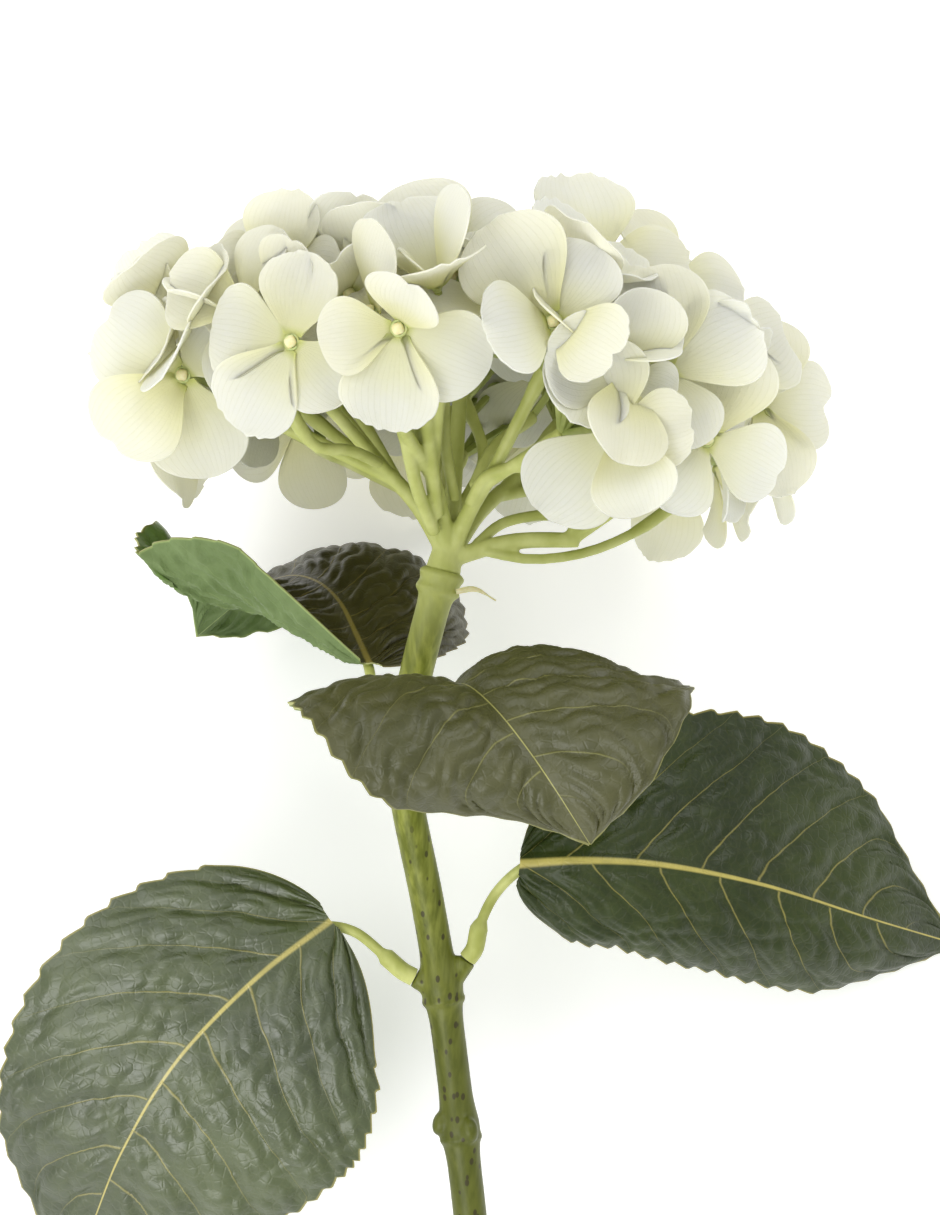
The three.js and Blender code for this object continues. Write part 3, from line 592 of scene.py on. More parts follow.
def leaf_surface(leaf, u, v, reach=0.0):
    """Places on a leaf's blade. reach moves its margin outwards."""
    line = leaf["line"]
    ahead = line.ahead(v)
    base, middle, tip = (np.array(aside, float) for aside in leaf["asides"])
    share = v[:, None]
    lower, upper = base + (middle - base) * 2 * share, middle + (tip - middle) * (2 * share - 1)
    aside = np.where(share < 0.5, lower, upper)
    aside = unit(aside - ahead * (aside * ahead).sum(axis=1, keepdims=True))
    up = unit(np.cross(aside, ahead))
    width = leaf_width(leaf, u, v) + reach * abs(u)
    fold = np.radians(by_side(leaf, "fold", u, v))
    curl = np.radians(by_side(leaf, "curl", u, v))
    turned = fold + curl * abs(u)
    out = width / curl * (np.sin(turned) - np.sin(fold)) * np.sign(u)
    rise = width / curl * (np.cos(fold) - np.cos(turned))
    back = by_side(leaf, "lean", u, v) * abs(out)
    return line.at(v) + aside * out[:, None] + up * rise[:, None] - ahead * back[:, None]


def leaf_facing(leaf, u, v):
    """The way that a leaf's upper skin faces"""
    before, after = np.maximum(v - SHORT_STEP, 0), np.minimum(v + SHORT_STEP, 1)
    left, right = np.maximum(u - SHORT_STEP, -1), np.minimum(u + SHORT_STEP, 1)
    along = leaf_surface(leaf, u, after) - leaf_surface(leaf, u, before)
    aside = leaf_surface(leaf, right, v) - leaf_surface(leaf, left, v)
    return unit(np.cross(aside, along))


def vein_phase(u, v):
    """A whole number on each side vein, which leaves the midrib at about 45 degrees and bends to the tip"""
    slant = VEIN_SLANT * abs(u) ** VEIN_BEND * (1 - 0.3 * v)
    return SIDE_VEINS * (v - slant) + VEIN_OFFSET * (u < 0)


def leaf_relief(u, v, look, width):
    """A skin's height in millimetres: pillows between the veins, the rib and waves"""
    phase = vein_phase(u, v)
    between = 1 - abs(phase % 1.0 - 0.5) * 2
    across = abs(u) * width
    wander = 1.1 * np.sin(across * 0.21 + 9 * v) + 0.8 * np.sin(31 * v + 5 * u)
    rungs = abs(np.sin(across / RUNG_STEP + wander + 2.4 * np.floor(phase)))
    strings = abs(np.sin(np.pi * (phase * 2.5 + 0.3 * np.sin(across * 0.5))))
    ridges = look["ridges"] * strings**0.7
    pillows = 0.75 * smooth(between, 0, 0.7) + 0.42 * rungs * (0.45 + 0.55 * strings) + ridges
    inner = smooth(across, 0.8, 5) * smooth((1 - abs(u)) * width, 0.5, 5)
    quilt = look["quilt"] * inner * (pillows - 0.75 - 0.6 * look["ridges"])
    from_rib = across / (RIB_REACH * (1.15 - v))
    rib = look["rib"] * np.clip(1 - from_rib**2, 0, 1) * (1.1 - v)
    waves = 0.7 * np.sin(5.2 * v + 2.1 * u) * smooth(abs(u), 0.3, 1)
    return quilt + rib + waves


def tooth_reach(u, v):
    """How far the toothed margin stands out from a leaf's outline, in millimetres"""
    step = (v * TEETH) % 1.0
    tooth = np.where(step < TOOTH_BACK, step / TOOTH_BACK, (1 - step) / (1 - TOOTH_BACK)) - 0.5
    toothed = smooth(v, 0.1, 0.16) * (1 - smooth(v, 0.955, 0.99))
    return TOOTH_DEPTH * tooth * toothed * smooth(abs(u), 0.86, 1)


def make_leaf(name):
    leaf, look = LEAVES[name], LOOKS[name]
    sheet, u, v = new_sheet(across=110, along=150)
    v = BLADE_START + BLADE_SHARE * v
    places = leaf_surface(leaf, u, v, tooth_reach(u, v))
    facing = leaf_facing(leaf, np.clip(u, -0.995, 0.995), np.clip(v, 0.01, 0.985))
    width = leaf_width(leaf, u, v)
    places = laid(places + facing * leaf_relief(u, v, look, width)[:, None])
    places[:, 2] = np.maximum(places[:, 2], FINE_THICKNESS * MM)
    move_to(sheet, places)
    attributes = {
        "aside": u,
        "vein_phase": vein_phase(u, v),
        "rib_mm": abs(u) * width,
        "edge_mm": (1 - abs(u)) * width,
        "paler": np.maximum(smooth(v, 0.8, 0.88), smooth(-u, 0.6, 0.7) * smooth(v, 0.3, 0.4)),
        "rib_width": 0.2 + look["rib_width"] * (1 - v) ** 1.8,
        "vein_share": (1 - 0.6 * smooth(abs(u), 0.2, 0.95)) * (1 - smooth(v, 0.76, 0.9)),
    }
    for attribute, values in attributes.items():
        set_attribute(sheet, attribute, values)
    dress(sheet, look["skin"], LOWER_SKIN_PAINTED_SHADE, MARGIN)
    bpy.ops.object.mode_set(mode="EDIT")
    bpy.ops.mesh.select_all(action="SELECT")
    bpy.ops.mesh.remove_doubles(threshold=0.03 * MM)
    bpy.ops.object.mode_set(mode="OBJECT")
    thicken(sheet, FINE_THICKNESS, material_offset=1, material_offset_rim=2)
    finish_piece(sheet, "blade_" + name, ["leaf_" + name])


def make_petiole(name):
    """A leaf's stalk, from its plug on the stub to the end of the midrib below the blade"""
    leaf = LEAVES[name]
    start, end = (np.array(place, float) for place in leaf["stub"])
    ahead = unit(end - start)
    v = np.array(MIDRIB_SHARES)
    middle = np.zeros_like(v)
    depth = BLADE_THICKNESS / 2 + GAP + MIDRIB_RADIUS - MIDRIB_TAPER * v
    below = leaf_surface(leaf, middle, v) - leaf_facing(leaf, middle, v) * depth[:, None]
    first = end + ahead * GAP
    route = Route(np.vstack([first, first + ahead * PLUG_STRAIGHT, leaf["petiole"], below]))
    bare = route.length - leaf["line"].length * (MIDRIB_SHARES[-1] - MIDRIB_SHARES[0])
    shares = np.linspace(0, 1, PETIOLE_STEPS)
    distance = shares * route.length
    along_blade = MIDRIB_SHARES[0] + np.maximum(0, distance - bare) / leaf["line"].length
    slim = MIDRIB_RADIUS - MIDRIB_TAPER * along_blade
    plug = 1 - smooth(distance, PLUG_LENGTH - 0.4, PLUG_LENGTH + 1.2)
    stalk = rods([(route.at(shares), slim + plug * (PLUG_RADIUS - slim))], sides=4)
    dress(stalk, PETIOLE_BARK)
    finish_piece(stalk, "stalk_" + name, ["petiole_" + name], angle=50)


# The head, as in the plant's source. A tier is its angle from the axis, its count of florets and its turn.
HEAD_TURN = Matrix.Rotation(math.radians(-6), 3, "X") @ Matrix.Rotation(math.radians(-4), 3, "Z")
HEAD_RIGHT, HEAD_AXIS, HEAD_FRONT = np.array(HEAD_TURN).T
HEAD_RADIUS = 75
HEAD_TOP = 72
RIM_HEIGHTS = [32, 30, 50, 43, 41, 40, 48, 37]
EYE_HALF_WIDTH = 1.5
EYE_HALF_HEIGHT = 1.9
BUD_HALF_HEIGHT = 1.25
BUD_RAISED = 1.1
SEPAL_LENGTH = 23.5
SEPAL_HALF_WIDTH = 12.3
SEPAL_THICKNESS = 0.4
SEPAL_BROADEST = 0.6
SEPAL_CLAW = 0.22
SEPAL_SHOULDER = 1.35
SEPAL_BEND = -0.45
SEPAL_CUP = 0.22
TIERS = [(0, 1, 0), (24, 6, 10), (47, 11, 20), (70, 14, 12.9), (94, 14, 2)]
FRONT_TIER = 2
FRONT_TIER_EDGES = [56, 66]
SECTORS = 7
DOME_BLUNTNESS = 0.7
# A front floret is its middle, the way it faces, and each sepal's direction, lift and length
FRONT_FLORETS = [
    ((-10.9, 53.8, 68), (-0.25, -0.15, 0.95),
     [(60, 62, 19), (188, 25, 17.5), (262, 12, 23), (335, 10, 21.5)]),
    ((38.9, 30.3, 52), (0.1, -0.15, 0.98), [(8, 20, 18), (105, 20, 22), (228, 8, 24), (290, 40, 20)]),
    ((61.6, 29.6, 36), (0.3, 0, 0.95), [(72, 22, 24), (165, 15, 18), (225, 15, 20), (335, 18, 19)]),
    ((-36, 51.4, 56), (-0.4, 0, 0.9), [(75, 15, 20), (170, 5, 22), (235, 15, 23), (318, 10, 18)]),
    ((-63.5, 45.5, 26), (-0.3, -0.1, 0.95), [(40, 30, 18), (148, 8, 24), (228, 45, 24), (285, 5, 24.5)]),
    ((-41, 68, 34), (-0.35, 0.45, 0.82), [(80, 35, 20), (160, 5, 21), (250, 20, 20), (340, 20, 19)]),
    ((-23, 63, 44), (-0.1, 0.4, 0.9), [(55, 15, 21), (130, 30, 20), (215, 15, 20), (310, 20, 20)]),
    ((1, 67, 46), (0.05, 0.45, 0.9), [(45, 20, 22), (115, 20, 24), (205, 15, 20), (300, 10, 20)]),
    ((24.7, 55.8, 60), (0, 0.1, 1), [(58, 18, 19), (125, 18, 26), (200, 50, 22), (325, 45, 20)]),
    ((51.3, 45, 44), (0.3, 0.3, 0.9), [(30, 8, 24), (98, 25, 24), (215, 15, 20), (290, 10, 20)]),
    ((75.8, 39.2, 10), (0.6, 0, 0.8), [(0, 15, 21), (85, 20, 20), (180, 20, 18), (285, 15, 22)]),
    ((36, 72, 26), (0.2, 0.6, 0.77), [(5, 20, 21), (95, 20, 25), (185, 20, 20), (275, 20, 20)]),
    ((54, 67, 14), (0.5, 0.6, 0.6), [(20, 15, 22), (110, 25, 21), (200, 20, 20), (290, 15, 20)]),
]
KEPT_CLEAR = 20
# How far a sepal may be shortened and bent, in the order in which the source tries it
SEPAL_TRIES = [
    *product((1, 0.92, 0.84, 0.76, 0.68), (0, 8, -8, 16, -16, 24, -24)),
    *product((0.8, 0.6, 0.45, 0.3), (32, 40, -32, 50, 60, 70)),
]
RECALLED_AT = [0.52, 0.76, 0.95]
LARGEST_MISS = 2


def in_head(height, distance, azimuth):
    """A place by its height along the head's axis, and its distance and direction from the axis"""
    turn = math.radians(azimuth)
    right, front = distance * math.cos(turn), distance * math.sin(turn)
    return HEAD_AXIS * height + HEAD_RIGHT * right + HEAD_FRONT * front


def rim_height(azimuth):
    """The height of the dome's rim, on a smooth line through RIM_HEIGHTS"""
    place = (azimuth % 360) / (360 / len(RIM_HEIGHTS))
    before, low, high, after = (RIM_HEIGHTS[(int(place) + k) % len(RIM_HEIGHTS)] for k in (-1, 0, 1, 2))
    share = place % 1
    bend = 0.5 * share * (high - before + share * (2 * before - 5 * low + 4 * high - after))
    return low + bend + 0.5 * share**3 * (3 * (low - high) + after - before)


def dome_place(polar, azimuth):
    """A place on the head's dome, and the direction that the dome faces there"""
    cosine, sine = math.cos(math.radians(polar)), math.sin(math.radians(polar))
    rim = rim_height(azimuth)
    height = rim + (HEAD_TOP - rim) * max(0, cosine) ** DOME_BLUNTNESS
    steep = unit(in_head(cosine / (HEAD_TOP - rim), sine / HEAD_RADIUS, azimuth))
    return in_head(height, HEAD_RADIUS * sine, azimuth), steep


def spread_of(axis):
    """Two directions square to a floret's axis"""
    first = np.cross((0, 0, 1), axis)
    if norm(first) < 0.2:
        first = np.cross((1, 0, 0), axis)
    first = unit(first)
    return first, np.cross(axis, first)


def plan_front_florets():
    florets = []
    for place, faces, sepals in FRONT_FLORETS:
        centre, axis = np.array(place, float), unit(faces)
        first, second = spread_of(axis)
        own = []
        for direction, lift, length in sepals:
            angle = math.radians(direction)
            way = np.array([math.cos(angle), math.sin(angle), 0])
            turn = math.degrees(math.atan2(way @ second, way @ first))
            own.append({"turn": turn, "lift": lift, "length": length})
        right, front = centre @ HEAD_RIGHT, centre @ HEAD_FRONT
        level = FRONT_TIER + sum(math.hypot(right, front) > edge for edge in FRONT_TIER_EDGES)
        azimuth = math.degrees(math.atan2(front, right))
        florets.append({"level": level, "azimuth": azimuth, "centre": centre, "axis": axis, "sepals": own})
    return florets


def plan_florets():
    """Where each of the plant's outer florets stands, and how its sepals were first set"""
    draw = draws(seed=8)
    florets = plan_front_florets()
    front = list(florets)
    for level, (tier_polar, count, tier_turn) in enumerate(TIERS):
        for k in range(count):
            azimuth = tier_turn + 360 / count * k + draw(-4, 4)
            polar = tier_polar + draw(-3, 3)
            off = (3.5 if k % 2 == 0 else -4.5) + draw(-1.5, 1.5)
            centre, steep = dome_place(polar, azimuth)
            centre = centre + steep * off
            axis = unit(steep + np.array([draw(-0.2, 0.2), draw(-0.15, 0.2), draw(-0.1, 0.2)]))
            spin = draw(0, 90)
            sepals = []
            for s in range(4):
                turn = spin + 90 * s + draw(-4, 4)
                lift = draw(6, 30) + s % 2 * 6
                sepals.append({"turn": turn, "lift": lift, "length": SEPAL_LENGTH * draw(0.9, 1.08)})
            if min(norm(one["centre"] - centre) for one in front) > KEPT_CLEAR:
                florets.append(
                    {"level": level, "azimuth": azimuth, "centre": centre, "axis": axis, "sepals": sepals}
                )
    return florets


def sepal_outline(s):
    """A sepal's half width along its middle, as a share of the greatest"""
    near = np.sin(np.pi / 2 * np.minimum(s / SEPAL_BROADEST, 1)) ** SEPAL_SHOULDER
    far = np.sqrt(np.maximum(0, 1 - (np.maximum(s - SEPAL_BROADEST, 0) / (1 - SEPAL_BROADEST)) ** 2))
    return np.where(s < SEPAL_BROADEST, SEPAL_CLAW + (1 - SEPAL_CLAW) * near, far)


def sepal_surface(floret, sepal, aside, s, raised=0.0, share=1.0, bend=0.0):
    """Places on a sepal. aside is the distance off its middle as a share of its greatest half width."""
    first, second = spread_of(floret["axis"])
    angle = math.radians(sepal["turn"])
    outward = first * math.cos(angle) + second * math.sin(angle)
    sideways = np.cross(outward, floret["axis"])
    length = sepal["length"] * share
    half = SEPAL_HALF_WIDTH * length / SEPAL_LENGTH
    start = math.radians(sepal["lift"] + bend)
    turned = start + SEPAL_BEND * s
    out = EYE_HALF_WIDTH + length / SEPAL_BEND * (np.sin(turned) - math.sin(start))
    up = length / SEPAL_BEND * (math.cos(start) - np.cos(turned))
    up = up + SEPAL_CUP * half * aside**2 / np.maximum(sepal_outline(s), 0.08) + raised
    flat = floret["centre"] + outward * out[:, None] + sideways * (aside * half)[:, None]
    return flat + floret["axis"] * up[:, None]


def recall_sepals(floret, solid):
    """Finds how far each sepal was bent clear of its neighbours, from the corners of the floret's solid"""
    corners = places_of(solid)
    out = np.array(RECALLED_AT)
    for sepal in floret["sepals"]:
        misses = []
        for share, bend in SEPAL_TRIES:
            spots = laid(sepal_surface(floret, sepal, np.zeros_like(out), out, share=share, bend=bend))
            gaps = norm(corners[None] - spots[:, None], axis=2).min(axis=1)
            misses.append(np.minimum(gaps, LARGEST_MISS * MM).sum())
        share, bend = SEPAL_TRIES[int(np.argmin(misses))]
        sepal["length"] *= share
        sepal["lift"] += bend


def sepal_shares(across, along):
    """A grid in the shape of a flat sepal, with its shares across it, aside and out from the claw"""
    sheet, u, v = new_sheet(across, along)
    q = np.maximum(v - SEPAL_BROADEST, 0) / (1 - SEPAL_BROADEST)
    low = v <= SEPAL_BROADEST
    out = np.where(low, v, SEPAL_BROADEST + (1 - SEPAL_BROADEST) * q * np.sqrt(1 - u**2 / 2))
    aside = np.where(low, u * sepal_outline(v), u * np.sqrt(1 - q**2 / 2))
    return sheet, u, aside, out


def sepal_character(pick):
    """One sepal's own waves, notch and frill"""
    return {
        "wave": pick.uniform(0.25, 0.9),
        "lobes": pick.choice([2, 3, 3, 4]),
        "phase": pick.uniform(0, 6.28),
        "notch": pick.choice([0, 0, 0, 0.05, 0.08]),
        "peak": pick.choice([0, 0, 0, 0.05, 0.09]),
        "frill": pick.choice([0, 0, 0, 0, 0.018, 0.03]),
        "twist": pick.uniform(-1, 1),
    }


WAVES_ROUND = 0.45
RIB_HEIGHT = 0.07
RIB_SPREAD = 22
TWIST_HEIGHT = 1.2
NOTCH_WIDTH = 0.22
PEAK_WIDTH = 0.3
FRILLS = 19


class FloretMould:
    """Four flat sepals and the middle, from which every floret is copied"""

    def __init__(self, across, along, middle):
        sheet, self.u, self.aside, self.out = sepal_shares(across, along)
        self.sheet = join([sheet, *(copy_of(sheet) for _ in range(3))])
        self.middle = middle
        self.around = np.arctan2(self.aside, self.out - WAVES_ROUND)
        off_middle = np.hypot(self.aside, (self.out - WAVES_ROUND) / (1 - WAVES_ROUND))
        self.rim = smooth(off_middle, 0.35, 1)

    def relief(self, own):
        """How far a sepal is raised at its waves, its fine ribs and its twist, in millimetres"""
        waves = own["wave"] * self.rim * np.sin(own["lobes"] * self.around + own["phase"])
        ribs = RIB_HEIGHT * np.sin(self.u * RIB_SPREAD + own["phase"]) * smooth(self.out, 0.1, 0.6)
        return waves + ribs + own["twist"] * self.aside * self.out * TWIST_HEIGHT

    def trimmed(self, own):
        """The shares out from the claw, with a notch or peak at the tip and a frill round the margin"""
        notch = own["notch"] * np.exp(-((self.u / NOTCH_WIDTH) ** 2))
        peak = own["peak"] * np.exp(-((self.u / PEAK_WIDTH) ** 2))
        frill = own["frill"] * (0.5 + 0.5 * np.sin(self.around * FRILLS + own["phase"]))
        trim = 1 - smooth(self.out, 0.8, 1) * (notch - peak) - smooth(self.rim, 0.8, 1) * frill
        return np.minimum(self.out * trim, 1)

    def cast(self, floret, pick):
        """A floret's four sepals and its middle in one piece"""
        places = []
        for sepal in floret["sepals"]:
            own = sepal_character(pick)
            places.append(sepal_surface(floret, sepal, self.aside, self.trimmed(own), self.relief(own)))
        sheet = copy_of(self.sheet)
        move_to(sheet, laid(np.vstack(places)))
        set_attribute(sheet, "out", np.tile(self.out, 4))
        set_attribute(sheet, "aside", np.tile(self.u, 4))
        set_attribute(sheet, "tone", np.repeat([pick.uniform(0, 1) for _ in range(4)], len(self.u)))
        dress(sheet, SEPAL)
        thicken(sheet, SEPAL_THICKNESS)
        axes = Matrix((*spread_of(floret["axis"]), floret["axis"])).transposed().to_4x4()
        turn = Matrix.Rotation(math.radians(floret["sepals"][0]["turn"]), 4, "Z")
        middle = copy_of(self.middle)
        middle.data.transform(LAID @ Matrix.Translation(floret["centre"]) @ axes @ turn)
        return join([sheet, middle])


def make_middle():
    """The floret's closed bud in a low ring, and the small green cup below it"""
    bpy.ops.mesh.primitive_uv_sphere_add(segments=16, ring_count=10, radius=1)
    bud = bpy.context.object
    places = places_of(bud)
    around = np.arctan2(places[:, 1], places[:, 0])
    lobes = 1 + 0.08 * np.cos(4 * around) * (1 - abs(places[:, 2]))
    places[:, :2] *= (EYE_HALF_WIDTH * lobes)[:, None]
    places[:, 2] = places[:, 2] * BUD_HALF_HEIGHT + BUD_RAISED
    move_to(bud, places)
    dress(bud, EYE)
    bpy.ops.mesh.primitive_torus_add(
        major_radius=1.75, minor_radius=0.45, major_segments=16, minor_segments=6,
    )
    ring = bpy.context.object
    ring.data.transform(Matrix.Translation((0, 0, 0.25)))
    bpy.ops.mesh.primitive_cone_add(vertices=10, radius1=0.95, radius2=1.9, depth=2)
    cup = bpy.context.object
    cup.data.transform(Matrix.Translation((0, 0, -0.95)))
    for part in (ring, cup):
        dress(part, CALYX)
    middle = join([bud, ring, cup])
    bpy.ops.object.shade_smooth()
    return middle


# The inner florets. Each is tried at several spots, and its sepals at several lengths and lifts.
SAMPLES = np.meshgrid(np.linspace(-0.92, 0.92, 7), np.linspace(0.2, 1, 7))
SAMPLES_ASIDE, SAMPLES_OUT = (grid.ravel() for grid in SAMPLES)
INNER_SEED = 5
INNER_COUNT = 66
INNER_SPOTS = 40
INNER_TRIES = [*product((1, 0.85, 0.7, 0.55, 0.42), (0, 12, -12, 24, -24, 36, 48, 62))]
INNER_CLEAR = 2.8
CLEAR_WORTH = 1.6
LENGTH_WORTH = 2
NEAR = 32


def sepal_samples(floret, sepal, share=1.0, bend=0.0):
    aside = SAMPLES_ASIDE * sepal_outline(SAMPLES_OUT)
    return sepal_surface(floret, sepal, aside, SAMPLES_OUT, share=share, bend=bend)


def take_samples(floret):
    floret["samples"] = np.vstack([sepal_samples(floret, sepal) for sepal in floret["sepals"]])


def settle(floret, taken):
    """Bends and shortens a floret's sepals to keep them out of its neighbours"""
    near = taken[norm(taken - floret["centre"], axis=1) < NEAR]
    tree = KDTree(len(near))
    for k, place in enumerate(near):
        tree.insert(place, k)
    tree.balance()
    for sepal in floret["sepals"]:
        best = None
        for share, bend in INNER_TRIES:
            gap = min(tree.find(place)[2] for place in sepal_samples(floret, sepal, share, bend))
            score = CLEAR_WORTH * min(gap, INNER_CLEAR) + LENGTH_WORTH * share
            if best is None or score > best[0] + 1e-6:
                best = (score, share, bend)
        sepal["length"] *= best[1]
        sepal["lift"] += best[2]
    take_samples(floret)


def widest_gap(standing, taken, pick):
    """The place in the head with the most room, and the way that the dome faces there"""
    spots = []
    for _ in range(INNER_SPOTS):
        polar, azimuth = math.degrees(math.acos(pick.uniform(0.02, 1))), pick.uniform(0, 360)
        centre, steep = dome_place(polar, azimuth)
        centre = centre - steep * pick.uniform(1, 10)
        gap = min(norm(other["centre"] - centre) for other in standing)
        room = norm(taken - centre, axis=1).min()
        spots.append((min(gap, 3 * room), centre, steep))
    return max(spots, key=lambda spot: spot[0])[1:]


def plan_inner_florets(outer):
    """Florets a little deeper in the head, each where the others leave the widest gap"""
    pick = random.Random(INNER_SEED)
    for floret in outer:
        take_samples(floret)
    standing = list(outer)
    for _ in range(INNER_COUNT):
        taken = np.vstack([floret["samples"] for floret in standing])
        centre, steep = widest_gap(standing, taken, pick)
        spin = pick.uniform(0, 90)
        axis = unit(steep + np.array([pick.uniform(-0.3, 0.3) for _ in range(3)]))
        sepals = []
        for s in range(4):
            turn, lift = spin + 90 * s + pick.uniform(-6, 6), pick.uniform(4, 26)
            sepals.append({"turn": turn, "lift": lift, "length": SEPAL_LENGTH * pick.uniform(0.82, 1)})
        floret = {"centre": centre, "axis": axis, "sepals": sepals}
        settle(floret, taken)
        standing.append(floret)
    return standing[len(outer):]


# Thinner branches between the main ones: their places, from the one they leave, and their radius
TWIGS = [
    ([(-17, 25, 8), (-24, 27.6, 20), (-32, 28.4, 26), (-38.5, 38, 29)], 1.5),
    ([(-3.4, 8, 7), (-7.6, 19, 17), (-11.5, 38, 29)], 1.7),
    ([(-2.8, 12, 8), (-4.2, 26, 18), (-6, 39.5, 27)], 1.9),
    ([(1.8, 16, 4), (-0.4, 28, 10), (-1.4, 45, 15)], 1.5),
    ([(3, 14, -4), (8.8, 27, -8), (3.2, 43, -12)], 1.5),
    ([(6.2, 19, 6), (10.8, 28.4, 2), (21, 37, -6)], 1.5),
    ([(5.4, 15, 8), (9.6, 21.6, 14), (22.4, 24.6, 20)], 1.5),
    ([(7, 5, 0), (13.6, 10.4, -4), (29, 13.4, -8)], 1.4),
    ([(9, 3.4, 2), (19.6, 1.4, 2), (33.6, 3, -3), (46, 8, -9), (57, 15.5, -14)], 1.3),
]
SECTOR_WIDTH = 360 / SECTORS
SECTOR_TURN = 6.4
MIDDLE_FORK_HEIGHT = 40
LOW_FORK = (8, 32)
HIGH_FORK = (21, 17)
TRUNK_ROUTE = [(-1.3, -1.7, 0), HEAD_AXIS * 7]
ROOT = HEAD_AXIS * 1.5
PARTING_SHARE = 0.52
SLEEVE = 0.35
STALK_CLEAR = 6.5
STALK_SWINGS = (0, 5, -5, 10, -10, 15, -15)
ROD_STEPS = 12


def sector_of(floret):
    """The main branch that a floret stands on, -1 for the one up the middle"""
    if floret["level"] < FRONT_TIER:
        return -1
    turned = (floret["azimuth"] - SECTOR_TURN + 720) % 360
    return int(((turned + SECTOR_WIDTH / 2) % 360) / SECTOR_WIDTH)


def fork_of(sector):
    if sector < 0:
        return in_head(MIDDLE_FORK_HEIGHT, 0, 0)
    return in_head(*(LOW_FORK if sector == 0 else HIGH_FORK), SECTOR_TURN + SECTOR_WIDTH * sector)


def stalk_route(floret, florets, parting, fork):
    """A stalk from its parting to below its floret, swung aside where another floret is in the way"""
    seat = floret["centre"] - floret["axis"] * (EYE_HALF_HEIGHT + GAP)
    start = parting + (fork - parting) * 0.03
    aside = unit(np.cross(floret["axis"], HEAD_AXIS))
    turning = (floret["centre"] - floret["axis"] * 9) * 0.7 + parting * 0.3
    others = np.array([other["centre"] for other in florets if other is not floret])
    routes = [[start, turning + aside * swing, seat] for swing in STALK_SWINGS]
    for route in routes:
        places = Route(route).at(np.linspace(0, 1, ROD_STEPS + 1))
        if norm(places[:, None] - others[None], axis=2).min() > STALK_CLEAR:
            return route
    return routes[0]


def inner_stalk_route(floret, partings):
    """A stalk from the nearest parting to an inner floret"""
    parting, fork = min(partings, key=lambda pair: norm(pair[0] - floret["centre"]))
    seat = floret["centre"] - floret["axis"] * EYE_HALF_HEIGHT
    return [parting + (fork - parting) * 0.05, (seat - floret["axis"] * 6 + parting) / 2, seat]


def rod(points, start, end, stretch=None):
    """A rod's places, and its radii from start to end, which change in one stretch or all along it"""
    shares = np.linspace(0, 1, ROD_STEPS)
    change = smooth(shares, *stretch) if stretch else shares
    return Route(points).at(shares), start + (end - start) * change


def make_branches(florets, inner):
    """The thick green branches in one skin, and the florets' thin stalks in another"""
    thick = [rod(TRUNK_ROUTE, start=4.5, end=3.3)]
    thin = []
    partings = []
    for sector in range(-1, SECTORS):
        fork = fork_of(sector)
        middle = (ROOT + fork) / 2 + HEAD_AXIS * (0 if sector < 0 else 2)
        thick.append(rod([ROOT, middle, fork], start=2.3, end=1.9))
        own = [floret for floret in florets if sector_of(floret) == sector]
        for level in sorted({floret["level"] for floret in own}):
            group = [floret for floret in own if floret["level"] == level]
            mean = np.mean([floret["centre"] for floret in group], axis=0)
            parting = fork + (mean - fork) * PARTING_SHARE
            partings.append((parting, fork))
            sunk = fork + (ROOT - fork) * 0.08
            thick.append(rod([sunk, parting], start=1.65, end=1.65 + SLEEVE, stretch=(0.7, 0.78)))
            routes = [stalk_route(floret, florets, parting, fork) for floret in group]
            thin.extend(rod(route, start=1.2, end=1.1, stretch=(0.6, 1)) for route in routes)
    for spots, radius in TWIGS:
        thick.append(rod(spots, start=radius, end=radius + SLEEVE, stretch=(0.72, 0.8)))
        partings.append((np.array(spots[-1], float), np.array(spots[-2], float)))
    thin.extend(rod(inner_stalk_route(floret, partings), start=1.05, end=1.05) for floret in inner)
    branches = grow_together(rods(thick, sides=5), voxel=0.5)
    dress(branches, BRANCH_BARK)
    finish_piece(branches, "branch_fan", ["flower_branches"])
    stalks = rods(thin, sides=1)
    dress(stalks, STALK_BARK)
    finish_piece(stalks, "floret_stalks")


SEPAL_SEED = 11

for leaf_parts in LEAVES.values():
    leaf_parts["line"] = Route(leaf_parts["rib"])
for leaf_name in LEAVES:
    make_leaf(leaf_name)
    make_petiole(leaf_name)
make_stem()
make_bract()

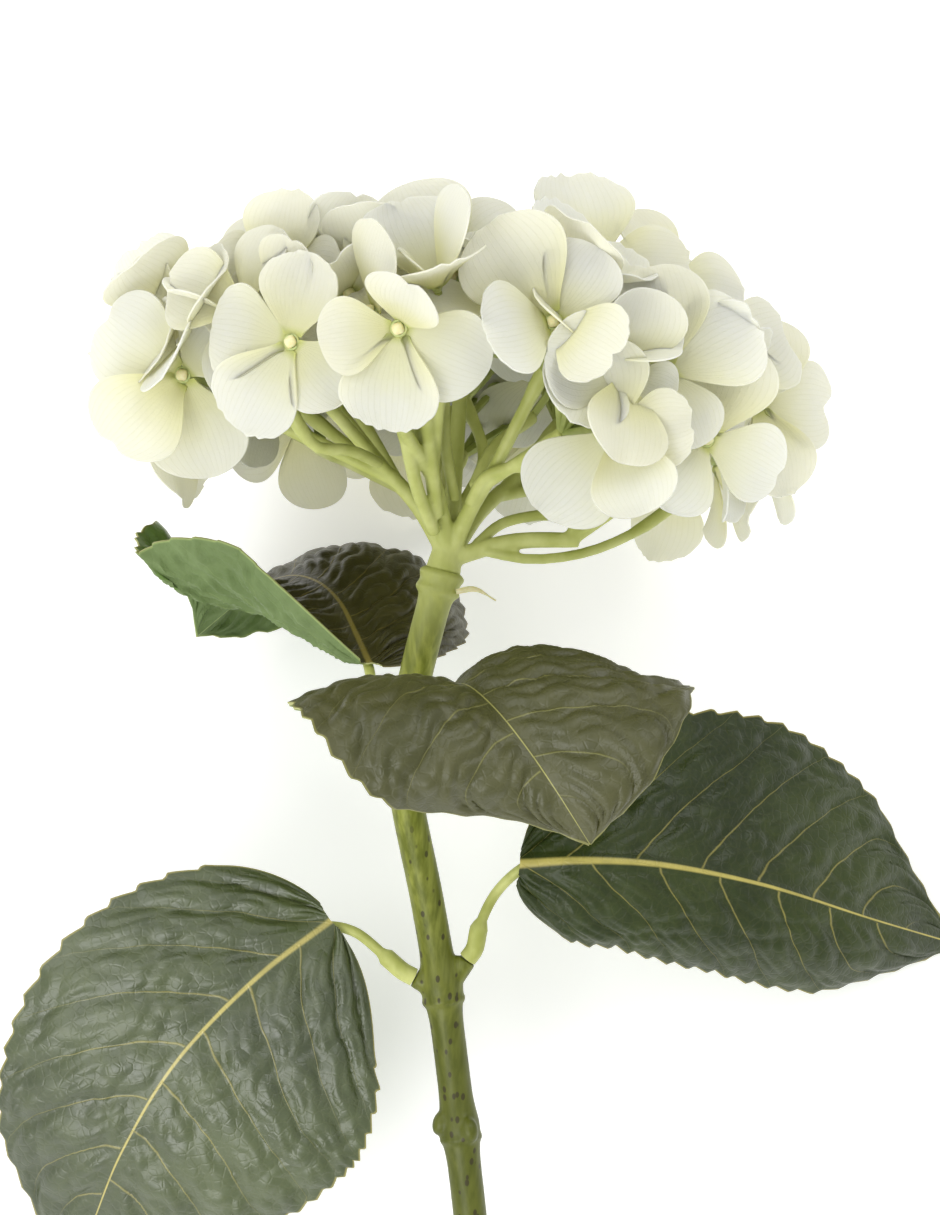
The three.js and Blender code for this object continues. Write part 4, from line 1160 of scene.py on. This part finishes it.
middle_mould = make_middle()
outer_mould = FloretMould(across=12, along=16, middle=middle_mould)
outer_florets = plan_florets()
choice = random.Random(SEPAL_SEED)
for number, one_floret in enumerate(outer_florets, 1):
    node = "floret_%02d" % number
    recall_sepals(one_floret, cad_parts[node])
    finish_piece(outer_mould.cast(one_floret, choice), "bloom_%02d" % number, [node])

inner_mould = FloretMould(across=8, along=10, middle=middle_mould)
inner_florets = plan_inner_florets(outer_florets)
inner_casts = [inner_mould.cast(one_floret, choice) for one_floret in inner_florets]
finish_piece(join(inner_casts), "inner_blooms")
make_branches(outer_florets, inner_florets)
for mould in (outer_mould.sheet, inner_mould.sheet, middle_mould):
    bpy.data.objects.remove(mould)

# The stage, with its lights and camera placed in the plant's own millimetres. The floor gives off a little
# light, so that it is white in the picture.
bpy.ops.mesh.primitive_plane_add(size=14)
floor = bpy.context.object
floor.name = "floor"
pale_ground = grained_finish(
    "pale_floor", roughness=0.8, scale=3, dark=(246, 246, 246), light=(250, 250, 250),
    Specular_IOR_Level=0.1, Emission_Strength=0.32, Emission_Color=WHITE,
)
floor.data.materials.append(pale_ground)


def add_light(name, place, target, power):
    bpy.ops.object.light_add(type="AREA")
    light = bpy.context.object
    light.name = name
    light.data.size = 1
    light.data.energy = power
    light.location = laid([place])[0]
    aim = Vector(laid([target])[0]) - light.location
    light.rotation_euler = aim.to_track_quat("-Z", "Y").to_euler()


add_light("window", place=(-1000, 530, 1250), target=(0, -20, 0), power=6)
add_light("low_window", place=(-700, -800, 1400), target=(0, -60, 0), power=14)
add_light("fill", place=(650, 900, 1200), target=(40, -20, 0), power=8)
world = bpy.data.worlds.new("studio")
world.use_nodes = True
sky = world.node_tree.nodes["Background"]
sky.inputs["Color"].default_value = WHITE
sky.inputs["Strength"].default_value = 0.68
bpy.context.scene.world = world
bpy.context.scene.view_settings.view_transform = "Standard"

bpy.ops.object.camera_add()
camera = bpy.context.object
camera.name = "camera"
camera.data.lens = 120
camera.data.sensor_width = 36
camera.data.clip_end = 20
camera.location = laid([(5.4, -10.5, 1000)])[0]
camera.rotation_euler = (LIE_PITCH, 0, 0)
bpy.context.scene.camera = camera
